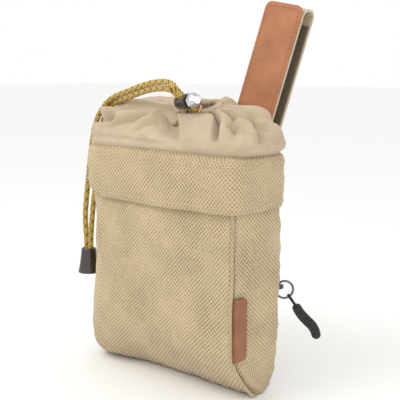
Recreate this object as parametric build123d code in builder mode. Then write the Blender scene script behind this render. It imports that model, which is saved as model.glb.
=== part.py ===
from build123d import *
import os
from math import atan, cos, degrees, radians, sin, tan

# Treat pouch for a belt: a canvas bag with a fold-over cuff, a drawstring collar, a back
# pocket with a zip, and a belt strap. Millimetres. While it is built, X runs along the
# width, -Y is the front and Z is 0 at the bottom seam. The finished pieces are written with
# their origin at the centre of the belt gap.

# --- driving dimensions -----------------------------------------------------------------
half_width, half_depth = 57.0, 19.0
# The bag narrows to its bottom seam. Each level: height, front, back, and the left end's step in.
bottom_level, bend_level, taper_level = (0.0, 0.5, 8.0, 3.0), (7.0, -6.2, 16.2, 1.2), (24.0, -19.0, 19.0, 0.0)
cuff_bottom, cuff_top = 99.0, 126.0
cuff_left, cuff_right, cuff_bulge = 1.0, 3.0, 4.0  # proud of the bag's ends, and of its front and back
wall = 1.4
left_radius, right_radius = 17.0, 2.0
gusset_width = 16.0  # of the left end, to the seams
seam_height = 3.0  # of the solid seam at the bottom
seam_y = 2.0  # where the front and back panels meet

lining_gap, lining_wall = 0.2, 0.5
lining_radius, lining_corner = 15.2, 0.8
pocket_depth = 4.4
pocket_wall = 0.5

collar_wall = 1.2
mouth_center = Vector(11.0, 6.4, 148.6)
mouth_tilt = 19.0
mouth_half_x, mouth_half_y, mouth_corner = 13.0, 7.6, 7.0
casing_radius, casing_bore = 2.2, 1.75

cord_radius = 1.6
strand_offset = 1.68
cord_direction = Vector(-0.314, -0.633, 0.706).normalized()  # through the eyelet and the lock
eyelet_center = Vector(15.7, -2.1, 147.6)
eyelet_bore, eyelet_radius, eyelet_thick = 3.6, 4.6, 0.6
strand_root = 1.2  # how far the strands start under the eyelet

lock_height = 6.7  # from the eyelet, along the cord
lock_radius, lock_bore = 3.9, 2.9
lock_low, lock_high = -6.4, 4.6
lock_floor = 0.6
plunger_radius = 2.75
press_travel = 1.5

bell_center = Vector(-63.7, -7.5)
bell_low, bell_high = 47.9, 62.5
bell_hole, bell_wall = 3.2, 1.2
bell_low_radius = 6.6
knot_height, knot_radius, knot_flat = 52.5, 3.7, 55.0

strap_width, strap_thick = 25.0, 1.4
strap_lean = 11.0  # sideways
strap_slope = 0.19  # backwards, per unit of height
strap_x = 29.4
strap_base, strap_top, strap_end = -24.0, 77.2, -60.0  # heights above the cuff's top
belt_gap = 7.0
leather_thick, leather_low, leather_high = 1.2, 3.4, 80.2
hook_thick = 1.0
fold_low = 72.7  # where the fold meets the rear leg

zip_z = 54.0
zip_left, zip_right = -40.0, 56.6
slider_x, slider_length = 50.6, 8.6
coil_half = 1.15
tape_width, tape_thick = 7.8, 0.8
ring_radius, ring_wire = 4.7, 0.6

# --- outlines and planes ----------------------------------------------------------------
reach = 3 * half_width
gusset_left = -half_width + gusset_width
panel_right = half_width - wall
cuff_y = half_depth + cuff_bulge
mouth_plane = Plane(
    origin=mouth_center,
    x_dir=(1, 0, 0),
    z_dir=(0, -sin(radians(mouth_tilt)), cos(radians(mouth_tilt))),
)


def rounded_plan(x_low, x_high, y_low, y_high, r_left, r_right):
    """A rectangle with its own corner radius on the left and on the right."""
    with BuildSketch() as plan:
        with BuildLine():
            FilletPolyline(
                (x_low, y_high),
                (x_low, y_low),
                (x_high, y_low),
                (x_high, y_high),
                radius=[r_left, r_left, r_right, r_right],
                close=True,
            )
        make_face()
    return plan.sketch


def body_plan(front, back, left=0.0, inset=0.0):
    """The bag's outline between its front and back, or with an inset the space inside it."""
    side = (back - front) / 2 - inset
    r_left = min(left_radius - inset, 0.92 * side)
    r_right = max(min(right_radius, 0.4 * side) - inset, 0.25)
    x_low = -half_width + left + inset
    return rounded_plan(x_low, half_width - inset, front + inset, back - inset, r_left, r_right)


def between(low, high, height):
    """A level's values at a height between two levels."""
    share = (height - low[0]) / (high[0] - low[0])
    return [start + share * (end - start) for start, end in zip(low, high)]


def tapered(levels, top):
    """A form that widens between outlines at their heights, then runs straight up to the top."""
    with BuildPart() as form:
        for low, high in zip(levels, levels[1:]):
            for height, plan in (low, high):
                with BuildSketch(Plane.XY.offset(height)):
                    add(plan)
            loft(ruled=True)
        height, plan = levels[-1]
        with BuildSketch(Plane.XY.offset(height)):
            add(plan)
        extrude(amount=top - height)
    return form.part


def block(x_low, x_high, y_low, y_high, z_low, z_high, mode=Mode.ADD):
    """A box given by its lowest and highest corner."""
    with Locations(((x_low + x_high) / 2, (y_low + y_high) / 2, (z_low + z_high) / 2)):
        Box(x_high - x_low, y_high - y_low, z_high - z_low, mode=mode)


# --- canvas shell, cut into its four panels -----------------------------------------------
slope_wall, bend_wall = 1.55 * wall, 1.3 * wall  # the wall measured level, where it slopes
outer_levels = [(level[0], body_plan(*level[1:])) for level in (bottom_level, bend_level, taper_level)]
seam_level = between(bottom_level, bend_level, seam_height)
inner_levels = [
    (level[0], body_plan(*level[1:], inset))
    for level, inset in ((seam_level, slope_wall), (bend_level, bend_wall), (taper_level, wall))
]
with BuildPart() as shell:
    add(tapered(outer_levels, cuff_top))
    add(tapered(inner_levels, cuff_top), mode=Mode.SUBTRACT)

with BuildPart() as right_gusset:
    add(shell.part)
    block(panel_right, reach, -reach, reach, 0, reach, mode=Mode.INTERSECT)

with BuildPart() as left_gusset:
    add(shell.part)
    block(-reach, gusset_left, -reach, reach, 0, reach, mode=Mode.INTERSECT)

with BuildPart() as front_panel:
    add(shell.part)
    block(gusset_left, panel_right, -reach, seam_y, 0, reach, mode=Mode.INTERSECT)

slit_half = 5.0
slit_right = panel_right - 0.5
with BuildPart() as back_panel:
    add(shell.part)
    block(gusset_left, panel_right, seam_y, reach, 0, reach, mode=Mode.INTERSECT)
    block(zip_left, slit_right, 10, reach, zip_z - slit_half, zip_z + slit_half, mode=Mode.SUBTRACT)

# --- fold-over cuff -----------------------------------------------------------------------
with BuildPart() as cuff_band:
    with BuildSketch(Plane.XY.offset(cuff_bottom)):
        cuff_x = (-half_width - cuff_left, half_width + cuff_right)
        add(rounded_plan(*cuff_x, -cuff_y, cuff_y, left_radius + 4, 7))
    extrude(amount=cuff_top - cuff_bottom)
    fillet(faces().sort_by(Axis.Z)[-1].edges(), radius=1.2)
    fillet(faces().sort_by(Axis.Z)[0].edges(), radius=1.0)
    with BuildSketch(Plane.XY.offset(cuff_bottom)):
        add(body_plan(-half_depth, half_depth))
    extrude(amount=cuff_top - cuff_bottom, mode=Mode.SUBTRACT)

# --- lining of the treat compartment ------------------------------------------------------
lining_low = 4.5
lining_x = half_width - wall - lining_gap
lining_front = half_depth - wall - lining_gap
lining_back = half_depth - wall - pocket_depth
lining_left = -half_width + bottom_level[3] + 2.8


def lining_plan(inset):
    """The lining's outline above the taper."""
    return rounded_plan(
        -lining_x + inset,
        lining_x - inset,
        -lining_front + inset,
        lining_back - inset,
        lining_radius - inset,
        lining_corner - inset,
    )


def lining_floor(inset):
    """The lining's outline at its floor."""
    return rounded_plan(lining_left + inset, 55 - inset, -1.0 + inset, 8.6 - inset, 4.6 - inset, 0.8 - inset)


with BuildPart() as inner_lining:
    add(tapered([(lining_low, lining_floor(0)), (taper_level[0], lining_plan(0))], cuff_top))
    floor = (lining_low + 0.7, lining_floor(lining_wall))
    add(tapered([floor, (taper_level[0], lining_plan(lining_wall))], cuff_top), mode=Mode.SUBTRACT)

# --- flat pocket behind the zip -----------------------------------------------------------
pocket_low, pocket_high = 28.0, 64.0
pocket_left, pocket_right = zip_left - 1.2, panel_right - 0.1
pocket_back = half_depth - wall - 0.3
pocket_front = lining_back + 0.3
with BuildPart() as pocket_bag:
    block(pocket_left, pocket_right, pocket_front, pocket_back, pocket_low, pocket_high)
    block(
        pocket_left + pocket_wall,
        pocket_right - pocket_wall,
        pocket_front + pocket_wall,
        reach,
        pocket_low + pocket_wall,
        pocket_high - pocket_wall,
        mode=Mode.SUBTRACT,
    )

# --- gathered collar ----------------------------------------------------------------------
# Each level: height, left, right, front, back, corner radius.
collar_levels = (
    (cuff_top, -56.3, 56.5, -18.5, 18.5, 15.5),
    (134.0, -55.5, 59.5, -21.5, 21.5, 16.0),
    (141.5, -53.0, 58.0, -16.0, 20.5, 13.0),
    (146.0, -43.0, 49.0, -8.0, 18.5, 9.0),
)


def collar_form(inset):
    """The collar's outer form, or with an inset the space inside it."""
    with BuildPart() as form:
        for height, x_low, x_high, y_low, y_high, radius in collar_levels:
            drop = inset if height > cuff_top else 0
            with BuildSketch(Plane.XY.offset(height - drop)):
                corner = radius - inset
                add(rounded_plan(x_low + inset, x_high - inset, y_low + inset, y_high - inset, corner, corner))
        with BuildSketch(mouth_plane.offset(-inset)):
            rim_x, rim_y = mouth_half_x + 1.4 - inset, mouth_half_y + 1.4 - inset
            add(rounded_plan(-rim_x, rim_x, -rim_y, rim_y, mouth_corner, mouth_corner))
        loft(ruled=True)
        if inset:
            extrude(faces().sort_by(Axis.Z)[-1], amount=2 * inset)
    return form.part


def mouth_tube(radius):
    """A round tube that runs once round the mouth."""
    with BuildPart() as tube:
        with BuildLine(mouth_plane) as path:
            FilletPolyline(
                (-mouth_half_x, -mouth_half_y),
                (mouth_half_x, -mouth_half_y),
                (mouth_half_x, mouth_half_y),
                (-mouth_half_x, mouth_half_y),
                radius=mouth_corner,
                close=True,
            )
        with BuildSketch(Plane(origin=path.line @ 0, z_dir=path.line % 0)):
            Circle(radius)
        sweep()
    return tube.part


eyelet_plane = Plane(origin=eyelet_center, z_dir=(0, cord_direction.Y, cord_direction.Z))


# What the eyelet, the strands' roots and the way out of them need.
with BuildPart() as eyelet_seat:
    with BuildSketch(eyelet_plane.offset(-eyelet_thick / 2)):
        Circle(eyelet_radius)
    extrude(amount=10)
    with BuildSketch(eyelet_plane.offset(-casing_radius)):
        Circle(eyelet_bore)
    extrude(amount=casing_radius)

with BuildPart() as gathered_collar:
    add(collar_form(0))
    add(collar_form(collar_wall), mode=Mode.SUBTRACT)
    add(mouth_tube(casing_radius), mode=Mode.SUBTRACT)
    add(eyelet_seat.part, mode=Mode.SUBTRACT)

with BuildPart() as drawcord_casing:
    add(mouth_tube(casing_radius))
    add(mouth_tube(casing_bore), mode=Mode.SUBTRACT)
    add(eyelet_seat.part, mode=Mode.SUBTRACT)

with BuildPart() as cord_eyelet:
    with BuildSketch(eyelet_plane.offset(-eyelet_thick / 2)):
        Circle(eyelet_radius)
        Circle(eyelet_bore, mode=Mode.SUBTRACT)
    extrude(amount=eyelet_thick)
    fillet(faces().sort_by(SortBy.AREA)[-1].outer_wire().edges(), radius=0.2)

# --- cord lock ------------------------------------------------------------------------------
# Its own frame: X along the cords, Z along the barrel towards the push end.
lock_lean = Vector(0.9, -0.37, 0.1)
lock_axis = (lock_lean - cord_direction * cord_direction.dot(lock_lean)).normalized()
lock_center = eyelet_center + cord_direction * lock_height
lock_plane = Plane(origin=lock_center, x_dir=cord_direction, z_dir=lock_axis)
cross_plane = Plane(origin=lock_center, x_dir=lock_axis, z_dir=cord_direction)
pair_half = strand_offset + cord_radius
slot_half = pair_half + 0.2
slot_width = 2 * cord_radius + 0.5
plunger_slot_low = -pair_half - 0.05
plunger_low = plunger_slot_low - 0.7
button_low = lock_high + press_travel + 0.3

with BuildPart() as cord_lock_barrel:
    with BuildSketch(lock_plane.offset(lock_low)):
        Circle(lock_radius)
    extrude(amount=lock_high - lock_low)
    fillet(faces().filter_by(GeomType.PLANE).edges(), radius=0.5)
    with BuildSketch(lock_plane.offset(lock_low + lock_floor)):
        Circle(lock_bore)
    extrude(amount=lock_high - lock_low, mode=Mode.SUBTRACT)
    with BuildSketch(cross_plane):
        Rectangle(2 * slot_half, slot_width)
    extrude(amount=2 * lock_radius, both=True, mode=Mode.SUBTRACT)

# The push end: a plunger, slotted for the cords, under a faceted head.
plunger_slot_high = slot_half + press_travel
with BuildPart() as cord_lock_button:
    with BuildSketch(lock_plane.offset(plunger_low)):
        Circle(plunger_radius)
    extrude(amount=button_low - plunger_low)
    with BuildSketch(cross_plane):
        with Locations(((plunger_slot_high + plunger_slot_low) / 2, 0)):
            Rectangle(plunger_slot_high - plunger_slot_low, slot_width)
    extrude(amount=2 * lock_radius, both=True, mode=Mode.SUBTRACT)
    for rise, radius in ((0.0, 3.2), (2.6, 4.3), (5.2, 3.7), (7.4, 2.0)):
        with BuildSketch(lock_plane.offset(button_low + rise)):
            RegularPolygon(radius, side_count=8)
    loft(ruled=True)

spring_wire = 0.25
spring_low = lock_low + lock_floor + spring_wire
spring_space = plunger_low - spring_wire - spring_low
with BuildPart() as cord_lock_spring:
    with BuildLine():
        coil_base = lock_plane.from_local_coords(Vector(0, 0, spring_low))
        coil = Helix(spring_space / 2, spring_space, 2.0, center=coil_base, direction=lock_axis)
    with BuildSketch(Plane(origin=coil @ 0, z_dir=coil % 0)):
        Circle(spring_wire)
    sweep(is_frenet=True)

# --- the cord's two free strands --------------------------------------------------------------
side_step = lock_axis * strand_offset
root = eyelet_center - cord_direction * strand_root
above_lock = eyelet_center + cord_direction * 14.4
bend_step = side_step + cord_direction * 0.9  # keeps the strands apart as they turn
strand_routes = {
    "drawcord_strand_a": [
        root + side_step,
        above_lock + bend_step,
        Vector(6.6, -10.8, 162.4),
        Vector(-6.2, -9.0, 162.0),
        Vector(-18.5, -7.4, 159.7),
        Vector(-31.0, -6.2, 156.3),
        Vector(-44.0, -5.0, 153.0),
        Vector(-51.5, -4.6, 148.2),
        Vector(-58.9, -4.4, 140.0),
        Vector(-63.4, -4.3, 126.0),
        Vector(-65.8, -4.6, 109.0),
        Vector(-67.4, -5.5, 94.0),
        Vector(-67.6, -7.0, 80.0),
        Vector(-65.36, -7.5, 67.5),
        Vector(-65.34, -7.5, knot_flat),
    ],
    "drawcord_strand_b": [
        root - side_step,
        above_lock - bend_step,
        Vector(4.9, -10.6, 158.9),
        Vector(-7.0, -8.8, 158.6),
        Vector(-18.8, -7.2, 156.3),
        Vector(-31.5, -5.4, 152.8),
        Vector(-44.0, -3.2, 150.1),
        Vector(-51.5, -1.0, 146.5),
        Vector(-58.4, -0.4, 138.2),
        Vector(-61.2, 0.2, 125.0),
        Vector(-61.6, -1.4, 109.0),
        Vector(-61.6, -4.8, 94.0),
        Vector(-61.2, -7.0, 80.0),
        Vector(-62.04, -7.5, 67.5),
        Vector(-62.06, -7.5, knot_flat),
    ],
}


def corner_radii(points):
    """Each corner's arc, as large as the shorter of its two runs allows."""
    radii = []
    for before, here, after in zip(points, points[1:], points[2:]):
        arriving, leaving = here - before, after - here
        turn = radians(arriving.get_angle(leaving))
        radii.append(0.45 * min(arriving.length, leaving.length) / tan(turn / 2))
    return radii


strands = {}
for name, route in strand_routes.items():
    radii = corner_radii(route)
    with BuildPart() as strand:
        with BuildLine():
            path = FilletPolyline(*route, radius=radii)
        with BuildSketch(Plane(origin=path @ 0, z_dir=path % 0)):
            Circle(cord_radius)
        sweep()
    strands[name] = strand
    print(name, "length", round(path.length, 1), "radii", [round(radius, 1) for radius in radii])

with BuildPart() as drawcord_loop:
    add(mouth_tube(cord_radius))
    for strand in strands.values():
        add(strand.part, mode=Mode.SUBTRACT)

# --- bell and knot at the strands' end ----------------------------------------------------------
with BuildPart() as cord_end_bell:
    with BuildSketch(Plane.XZ.offset(-bell_center.Y)):
        with BuildLine():
            rim = bell_center.X + bell_low_radius
            neck = bell_center.X + bell_hole
            inner = Spline(
                (neck, bell_high), (rim - bell_wall, bell_low), tangents=((0.05, -1), (0.25, -1))
            )
            outer = Spline(
                (neck + bell_wall, bell_high), (rim, bell_low), tangents=((0.05, -1), (0.25, -1))
            )
            Line(inner @ 0, outer @ 0)
            Line(inner @ 1, outer @ 1)
        make_face()
    revolve(axis=Axis((bell_center.X, bell_center.Y, 0), (0, 0, 1)))

with BuildPart() as cord_end_knot:
    with Locations((bell_center.X, bell_center.Y, knot_height)):
        Sphere(knot_radius)
    block(-reach, reach, -reach, reach, knot_flat, reach, mode=Mode.SUBTRACT)

# --- belt strap -----------------------------------------------------------------------------------
# Drawn in its side view: X is the depth and Y the height above the cuff's top, along the lean.
lean = radians(strap_lean)
strap_plane = Plane(origin=(strap_x, 0, cuff_top), x_dir=(0, 1, 0), z_dir=(cos(lean), 0, -sin(lean)))
front_base = cuff_y + strap_thick / 2
rear_base = front_base + (strap_thick + hook_thick + belt_gap) * 1.02


def front_leg(height):
    """The middle of the front leg's thickness at a height."""
    return (front_base + strap_slope * height, height)


def rear_leg(height):
    """The middle of the rear leg's thickness at a height."""
    return (rear_base + strap_slope * height, height)


with BuildPart() as belt_strap_front:
    with BuildSketch(strap_plane):
        with BuildLine():
            FilletPolyline(
                (front_base, strap_base),
                front_leg(0),
                front_leg(strap_top),
                rear_leg(strap_top),
                rear_leg(fold_low),
                radius=[12, 4.6, 3.6],
            )
        trace(line_width=strap_thick)
    extrude(amount=strap_width / 2, both=True)

tail_y = half_depth + 1.3 + hook_thick + strap_thick / 2
rear_points = [rear_leg(fold_low - 0.3), rear_leg(12), (tail_y + 3.6, -31), (tail_y, -38), (tail_y, strap_end)]
rear_bends = [40, 9, 9]
with BuildPart() as belt_strap_rear:
    with BuildSketch(strap_plane):
        with BuildLine():
            FilletPolyline(*rear_points, radius=rear_bends)
        trace(line_width=strap_thick)
    extrude(amount=strap_width / 2, both=True)

hook_shift = (strap_thick + hook_thick) / 2 - 0.05
hook_points = [(depth - hook_shift, height) for depth, height in rear_points]
hook_points[0] = (rear_leg(fold_low - 3)[0] - hook_shift, fold_low - 3)
with BuildPart() as hook_tape:
    with BuildSketch(strap_plane):
        with BuildLine():
            FilletPolyline(*hook_points, radius=rear_bends)
        trace(line_width=hook_thick + 0.1)
    extrude(amount=strap_width / 2 - 1, both=True)
    add(belt_strap_rear.part, mode=Mode.SUBTRACT)

leg_angle = degrees(atan(strap_slope))
leg_face = strap_plane.from_local_coords(Vector(*front_leg(0)))
leg_out = (Vector(0, -1, 0) + strap_plane.y_dir * strap_slope).normalized()
leather_plane = Plane(origin=leg_face, x_dir=strap_plane.z_dir, z_dir=leg_out).offset(strap_thick / 2)
with BuildPart() as strap_leather_facing:
    with BuildSketch(leather_plane):
        with Locations((0, (leather_low + leather_high) / 2)):
            Rectangle(strap_width - 1, leather_high - leather_low)
        fillet(vertices().group_by(Axis.Y)[-1], radius=4)
    extrude(amount=leather_thick)

stitch_box = (17.0, 16.0)
stitch_width, stitch_proud = 0.7, 0.3
stitch_face = strap_plane.from_local_coords(Vector(cuff_y + strap_thick, strap_base / 2 - 0.5))
with BuildPart() as strap_base_stitching:
    with BuildSketch(Plane(origin=stitch_face, x_dir=strap_plane.z_dir, z_dir=(0, 1, 0))):
        Rectangle(*stitch_box)
        offset(amount=-stitch_width, mode=Mode.SUBTRACT)
        for turn in (1, -1):
            Rectangle(22.4, stitch_width, rotation=turn * degrees(atan(stitch_box[1] / stitch_box[0])))
    extrude(amount=stitch_proud)

loop_thick = 1.0
with BuildPart() as loop_tape:
    with BuildSketch(strap_plane):
        with Locations((half_depth + loop_thick / 2, -49)):
            Rectangle(loop_thick, 24)
    extrude(amount=strap_width / 2 - 1, both=True)

# --- leather tag in the front seam --------------------------------------------------------------
with BuildPart() as seam_tag:
    with BuildSketch(Plane.YZ.offset(half_width)):
        with Locations((-12.9, 41.0)):
            Rectangle(8.4, 33)
        fillet(vertices().group_by(Axis.X)[-1], radius=3.5)
    extrude(amount=1.7)

# --- zip --------------------------------------------------------------------------------------------
tape_outer = half_depth + tape_thick
with BuildPart() as zip_tape_upper:
    low = zip_z + coil_half + 0.05
    block(zip_left - 1, zip_right, half_depth, tape_outer, low, low + tape_width)

with BuildPart() as zip_tape_lower:
    high = zip_z - coil_half - 0.05
    block(zip_left - 1, zip_right, half_depth, tape_outer, high - tape_width, high)

coil_left = zip_left + 1.6
coil_right = slider_x - slider_length / 2 - 0.2
with BuildPart() as zip_coil_upper:
    block(coil_left, coil_right, 18.4, 20.8, zip_z + 0.05, zip_z + 0.05 + coil_half)

with BuildPart() as zip_coil_lower:
    block(coil_left, coil_right, 18.4, 20.8, zip_z - 0.05 - coil_half, zip_z - 0.05)

with BuildPart() as zip_stop_left:
    block(zip_left, coil_left, 18.2, 21.0, zip_z - 2.4, zip_z + 2.4)
    block(zip_left - 1, coil_left, half_depth, tape_outer, zip_z - 2.4, zip_z + 2.4, mode=Mode.SUBTRACT)
    block(zip_left, coil_left, half_depth, tape_outer, zip_z - 1.2, zip_z + 1.2)

with BuildPart() as zip_stop_right:
    for side in (1, -1):
        middle = zip_z + side * 2.2
        block(slit_right, zip_right, tape_outer, 20.9, middle - 0.9, middle + 0.9)

plate_inner, plate_outer = (16.8, 18.0), (21.1, 22.2)
plate_half = 4.4
slider_left, slider_right = slider_x - slider_length / 2, slider_x + slider_length / 2
bridge_x, bridge_top = slider_x + 1.6, 27.0
bridge_half, bridge_thick = 1.2, 0.8
hole_half = 1.6
with BuildPart() as zip_slider:
    block(slider_left, slider_right, *plate_inner, zip_z - plate_half, zip_z + plate_half)
    block(slider_left, slider_right, *plate_outer, zip_z - plate_half, zip_z + plate_half)
    fillet(edges().filter_by(Axis.Y), radius=2.0)
    block(slider_right - 2.6, slider_right - 0.8, plate_inner[1], plate_outer[0], zip_z - 0.9, zip_z + 0.9)
    bridge_y = (plate_outer[1], bridge_top + bridge_thick)
    foot = hole_half + bridge_thick
    block(bridge_x - foot, bridge_x + foot, *bridge_y, zip_z - bridge_half, zip_z + bridge_half)
    hole_y = (plate_outer[1], bridge_top)
    block(bridge_x - hole_half, bridge_x + hole_half, *hole_y, zip_z - reach, zip_z + reach, mode=Mode.SUBTRACT)

# The ring and the pull stand in one upright plane that points away from the corner.
outward = Vector(1, 1, 0).normalized()
across = Vector(1, -1, 0).normalized()


def below(angle):
    """The direction in the pull's plane that drops by an angle below the level."""
    return outward * cos(radians(angle)) - Vector(0, 0, sin(radians(angle)))


ring_root = Vector(bridge_x, (plate_outer[1] + bridge_top) / 2, zip_z)
ring_center = ring_root + below(20) * ring_radius
with BuildPart() as zip_ring:
    with BuildLine(Plane(origin=ring_center, x_dir=outward, z_dir=across)) as path:
        CenterArc((0, 0), ring_radius, 0, 360)
    with BuildSketch(Plane(origin=path.line @ 0, z_dir=path.line % 0)):
        Circle(ring_wire)
    sweep()

pull_direction = below(55)
pull_root = ring_center + pull_direction * ring_radius
link_radius, link_wire, link_end, link_wide = 1.5, 0.75, 6.6, 1.6
with BuildPart() as zip_pull_cord:
    with BuildSketch(Plane(origin=pull_root + pull_direction * link_radius, z_dir=pull_direction)):
        Circle(link_wide)
    extrude(amount=link_end - link_radius)
    with Locations(Plane(origin=pull_root, x_dir=across, z_dir=pull_direction.cross(across))):
        Cylinder(link_radius - link_wire, 6, mode=Mode.SUBTRACT)
        Torus(link_radius, link_wire)

# The grip's bends, out from the link's end and down.
grip_bends = ((0, 0), (3.0, -4.8), (9.6, -11.2), (11.9, -18.0))
grip_width, grip_thick = 5.2, 3.8
with BuildPart() as zip_pull_grip:
    with BuildSketch(Plane(origin=pull_root + pull_direction * link_end, x_dir=outward, z_dir=across)):
        with BuildLine():
            FilletPolyline(*grip_bends, radius=[5, 6])
        trace(line_width=grip_width)
    extrude(amount=grip_thick / 2, both=True)
    add(zip_pull_cord.part, mode=Mode.SUBTRACT)

# --- finished pieces ------------------------------------------------------------------------------
pieces = {
    "front_panel": front_panel,
    "right_gusset": right_gusset,
    "left_gusset": left_gusset,
    "back_panel": back_panel,
    "cuff_band": cuff_band,
    "inner_lining": inner_lining,
    "pocket_bag": pocket_bag,
    "gathered_collar": gathered_collar,
    "drawcord_casing": drawcord_casing,
    "cord_eyelet": cord_eyelet,
    "drawcord_loop": drawcord_loop,
    **strands,
    "cord_lock_barrel": cord_lock_barrel,
    "cord_lock_button": cord_lock_button,
    "cord_lock_spring": cord_lock_spring,
    "cord_end_bell": cord_end_bell,
    "cord_end_knot": cord_end_knot,
    "belt_strap_front": belt_strap_front,
    "belt_strap_rear": belt_strap_rear,
    "hook_tape": hook_tape,
    "strap_leather_facing": strap_leather_facing,
    "strap_base_stitching": strap_base_stitching,
    "loop_tape": loop_tape,
    "seam_tag": seam_tag,
    "zip_tape_upper": zip_tape_upper,
    "zip_tape_lower": zip_tape_lower,
    "zip_coil_upper": zip_coil_upper,
    "zip_coil_lower": zip_coil_lower,
    "zip_stop_left": zip_stop_left,
    "zip_stop_right": zip_stop_right,
    "zip_slider": zip_slider,
    "zip_ring": zip_ring,
    "zip_pull_cord": zip_pull_cord,
    "zip_pull_grip": zip_pull_grip,
}

belt_height = 42.0
gap_middle = (front_leg(belt_height)[0] + rear_leg(belt_height)[0] - hook_thick) / 2
belt_center = strap_plane.from_local_coords(Vector(gap_middle, belt_height))

os.makedirs("parts", exist_ok=True)
for name, builder in pieces.items():
    piece = builder.part.moved(Location(-belt_center))
    piece.label = name
    export_step(piece, f"parts/{name}.step")
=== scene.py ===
import math
import bmesh
import bpy
import numpy as np
from mathutils import Euler, Matrix, Vector, noise


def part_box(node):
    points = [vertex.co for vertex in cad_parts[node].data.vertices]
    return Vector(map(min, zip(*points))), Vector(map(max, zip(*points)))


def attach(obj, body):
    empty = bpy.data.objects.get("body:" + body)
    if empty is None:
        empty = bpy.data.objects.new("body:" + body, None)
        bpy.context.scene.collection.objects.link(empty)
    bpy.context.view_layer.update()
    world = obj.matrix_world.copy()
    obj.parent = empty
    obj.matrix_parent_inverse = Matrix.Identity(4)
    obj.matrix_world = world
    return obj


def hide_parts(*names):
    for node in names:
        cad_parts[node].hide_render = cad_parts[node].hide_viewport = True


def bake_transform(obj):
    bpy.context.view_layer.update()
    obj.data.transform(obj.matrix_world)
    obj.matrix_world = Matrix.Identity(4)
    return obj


# Treat pouch for a belt. Lengths below are millimetres in the bag's own frame: X along the
# width, -Y the front, Z 0 at the bottom seam. at() turns them into the frame's metres.

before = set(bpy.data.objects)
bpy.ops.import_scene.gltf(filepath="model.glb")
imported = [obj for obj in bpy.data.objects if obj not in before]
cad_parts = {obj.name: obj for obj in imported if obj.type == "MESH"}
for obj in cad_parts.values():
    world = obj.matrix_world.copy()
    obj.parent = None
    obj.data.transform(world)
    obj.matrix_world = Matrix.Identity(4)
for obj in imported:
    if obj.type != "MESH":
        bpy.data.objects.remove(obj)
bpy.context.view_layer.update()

HALF_WIDTH, HALF_DEPTH = 57.0, 19.0
ORIGIN = np.array([
    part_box("right_gusset")[1][0] - HALF_WIDTH * 0.001,
    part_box("front_panel")[0][1] + HALF_DEPTH * 0.001,
    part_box("front_panel")[0][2],
])


def at(points):
    """Points of the bag's own frame, in the frame's metres."""
    return np.asarray(points, float) * 0.001 + ORIGIN


# --- camera, light and floor ---
def add_camera():
    azimuth, pitch, roll = math.radians(41.5), math.radians(9.2), math.radians(0.5)
    data = bpy.data.cameras.new("camera")
    data.lens, data.sensor_width = 70.6, 36.0
    camera = bpy.data.objects.new("camera", data)
    camera.location = at((292, -309, 167))
    turn = Euler((math.pi / 2 - pitch, 0, azimuth)).to_matrix() @ Matrix.Rotation(roll, 3, "Z")
    camera.rotation_euler = turn.to_euler()
    bpy.context.collection.objects.link(camera)
    bpy.context.scene.camera = camera


def add_light(name, place, aim, size, power):
    data = bpy.data.lights.new(name, "AREA")
    data.shape, data.size, data.energy = "DISK", size, power
    light = bpy.data.objects.new(name, data)
    light.location = at(place)
    light.rotation_euler = (Vector(at(aim)) - light.location).to_track_quat("-Z", "Y").to_euler()
    bpy.context.collection.objects.link(light)


def add_floor():
    mesh = bpy.data.meshes.new("floor")
    reach = 9000.0
    mesh.from_pydata([at((x, y, -0.3)) for x, y in
                      ((-reach, -reach), (reach, -reach), (reach, reach),
                       (-reach, reach))], [], [(0, 1, 2, 3)])
    floor = bpy.data.objects.new("floor", mesh)
    bpy.context.collection.objects.link(floor)
    material = bpy.data.materials.new("floor")
    material.use_nodes = True
    material.node_tree.nodes["Principled BSDF"].inputs["Base Color"].default_value = (0.93, 0.93, 0.92, 1)
    material.node_tree.nodes["Principled BSDF"].inputs["Roughness"].default_value = 0.9
    mesh.materials.append(material)


def add_world():
    world = bpy.data.worlds.new("world")
    world.use_nodes = True
    world.node_tree.nodes["Background"].inputs["Color"].default_value = (1, 1, 1, 1)
    world.node_tree.nodes["Background"].inputs["Strength"].default_value = 1.0
    bpy.context.scene.world = world
    bpy.context.scene.view_settings.view_transform = "Standard"


add_camera()
add_world()
add_floor()
add_light("key", (-150, -420, 640), (0, 0, 90), 0.35, 1.5)
add_light("side", (560, -60, 330), (20, 0, 90), 0.35, 0.3)


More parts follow.
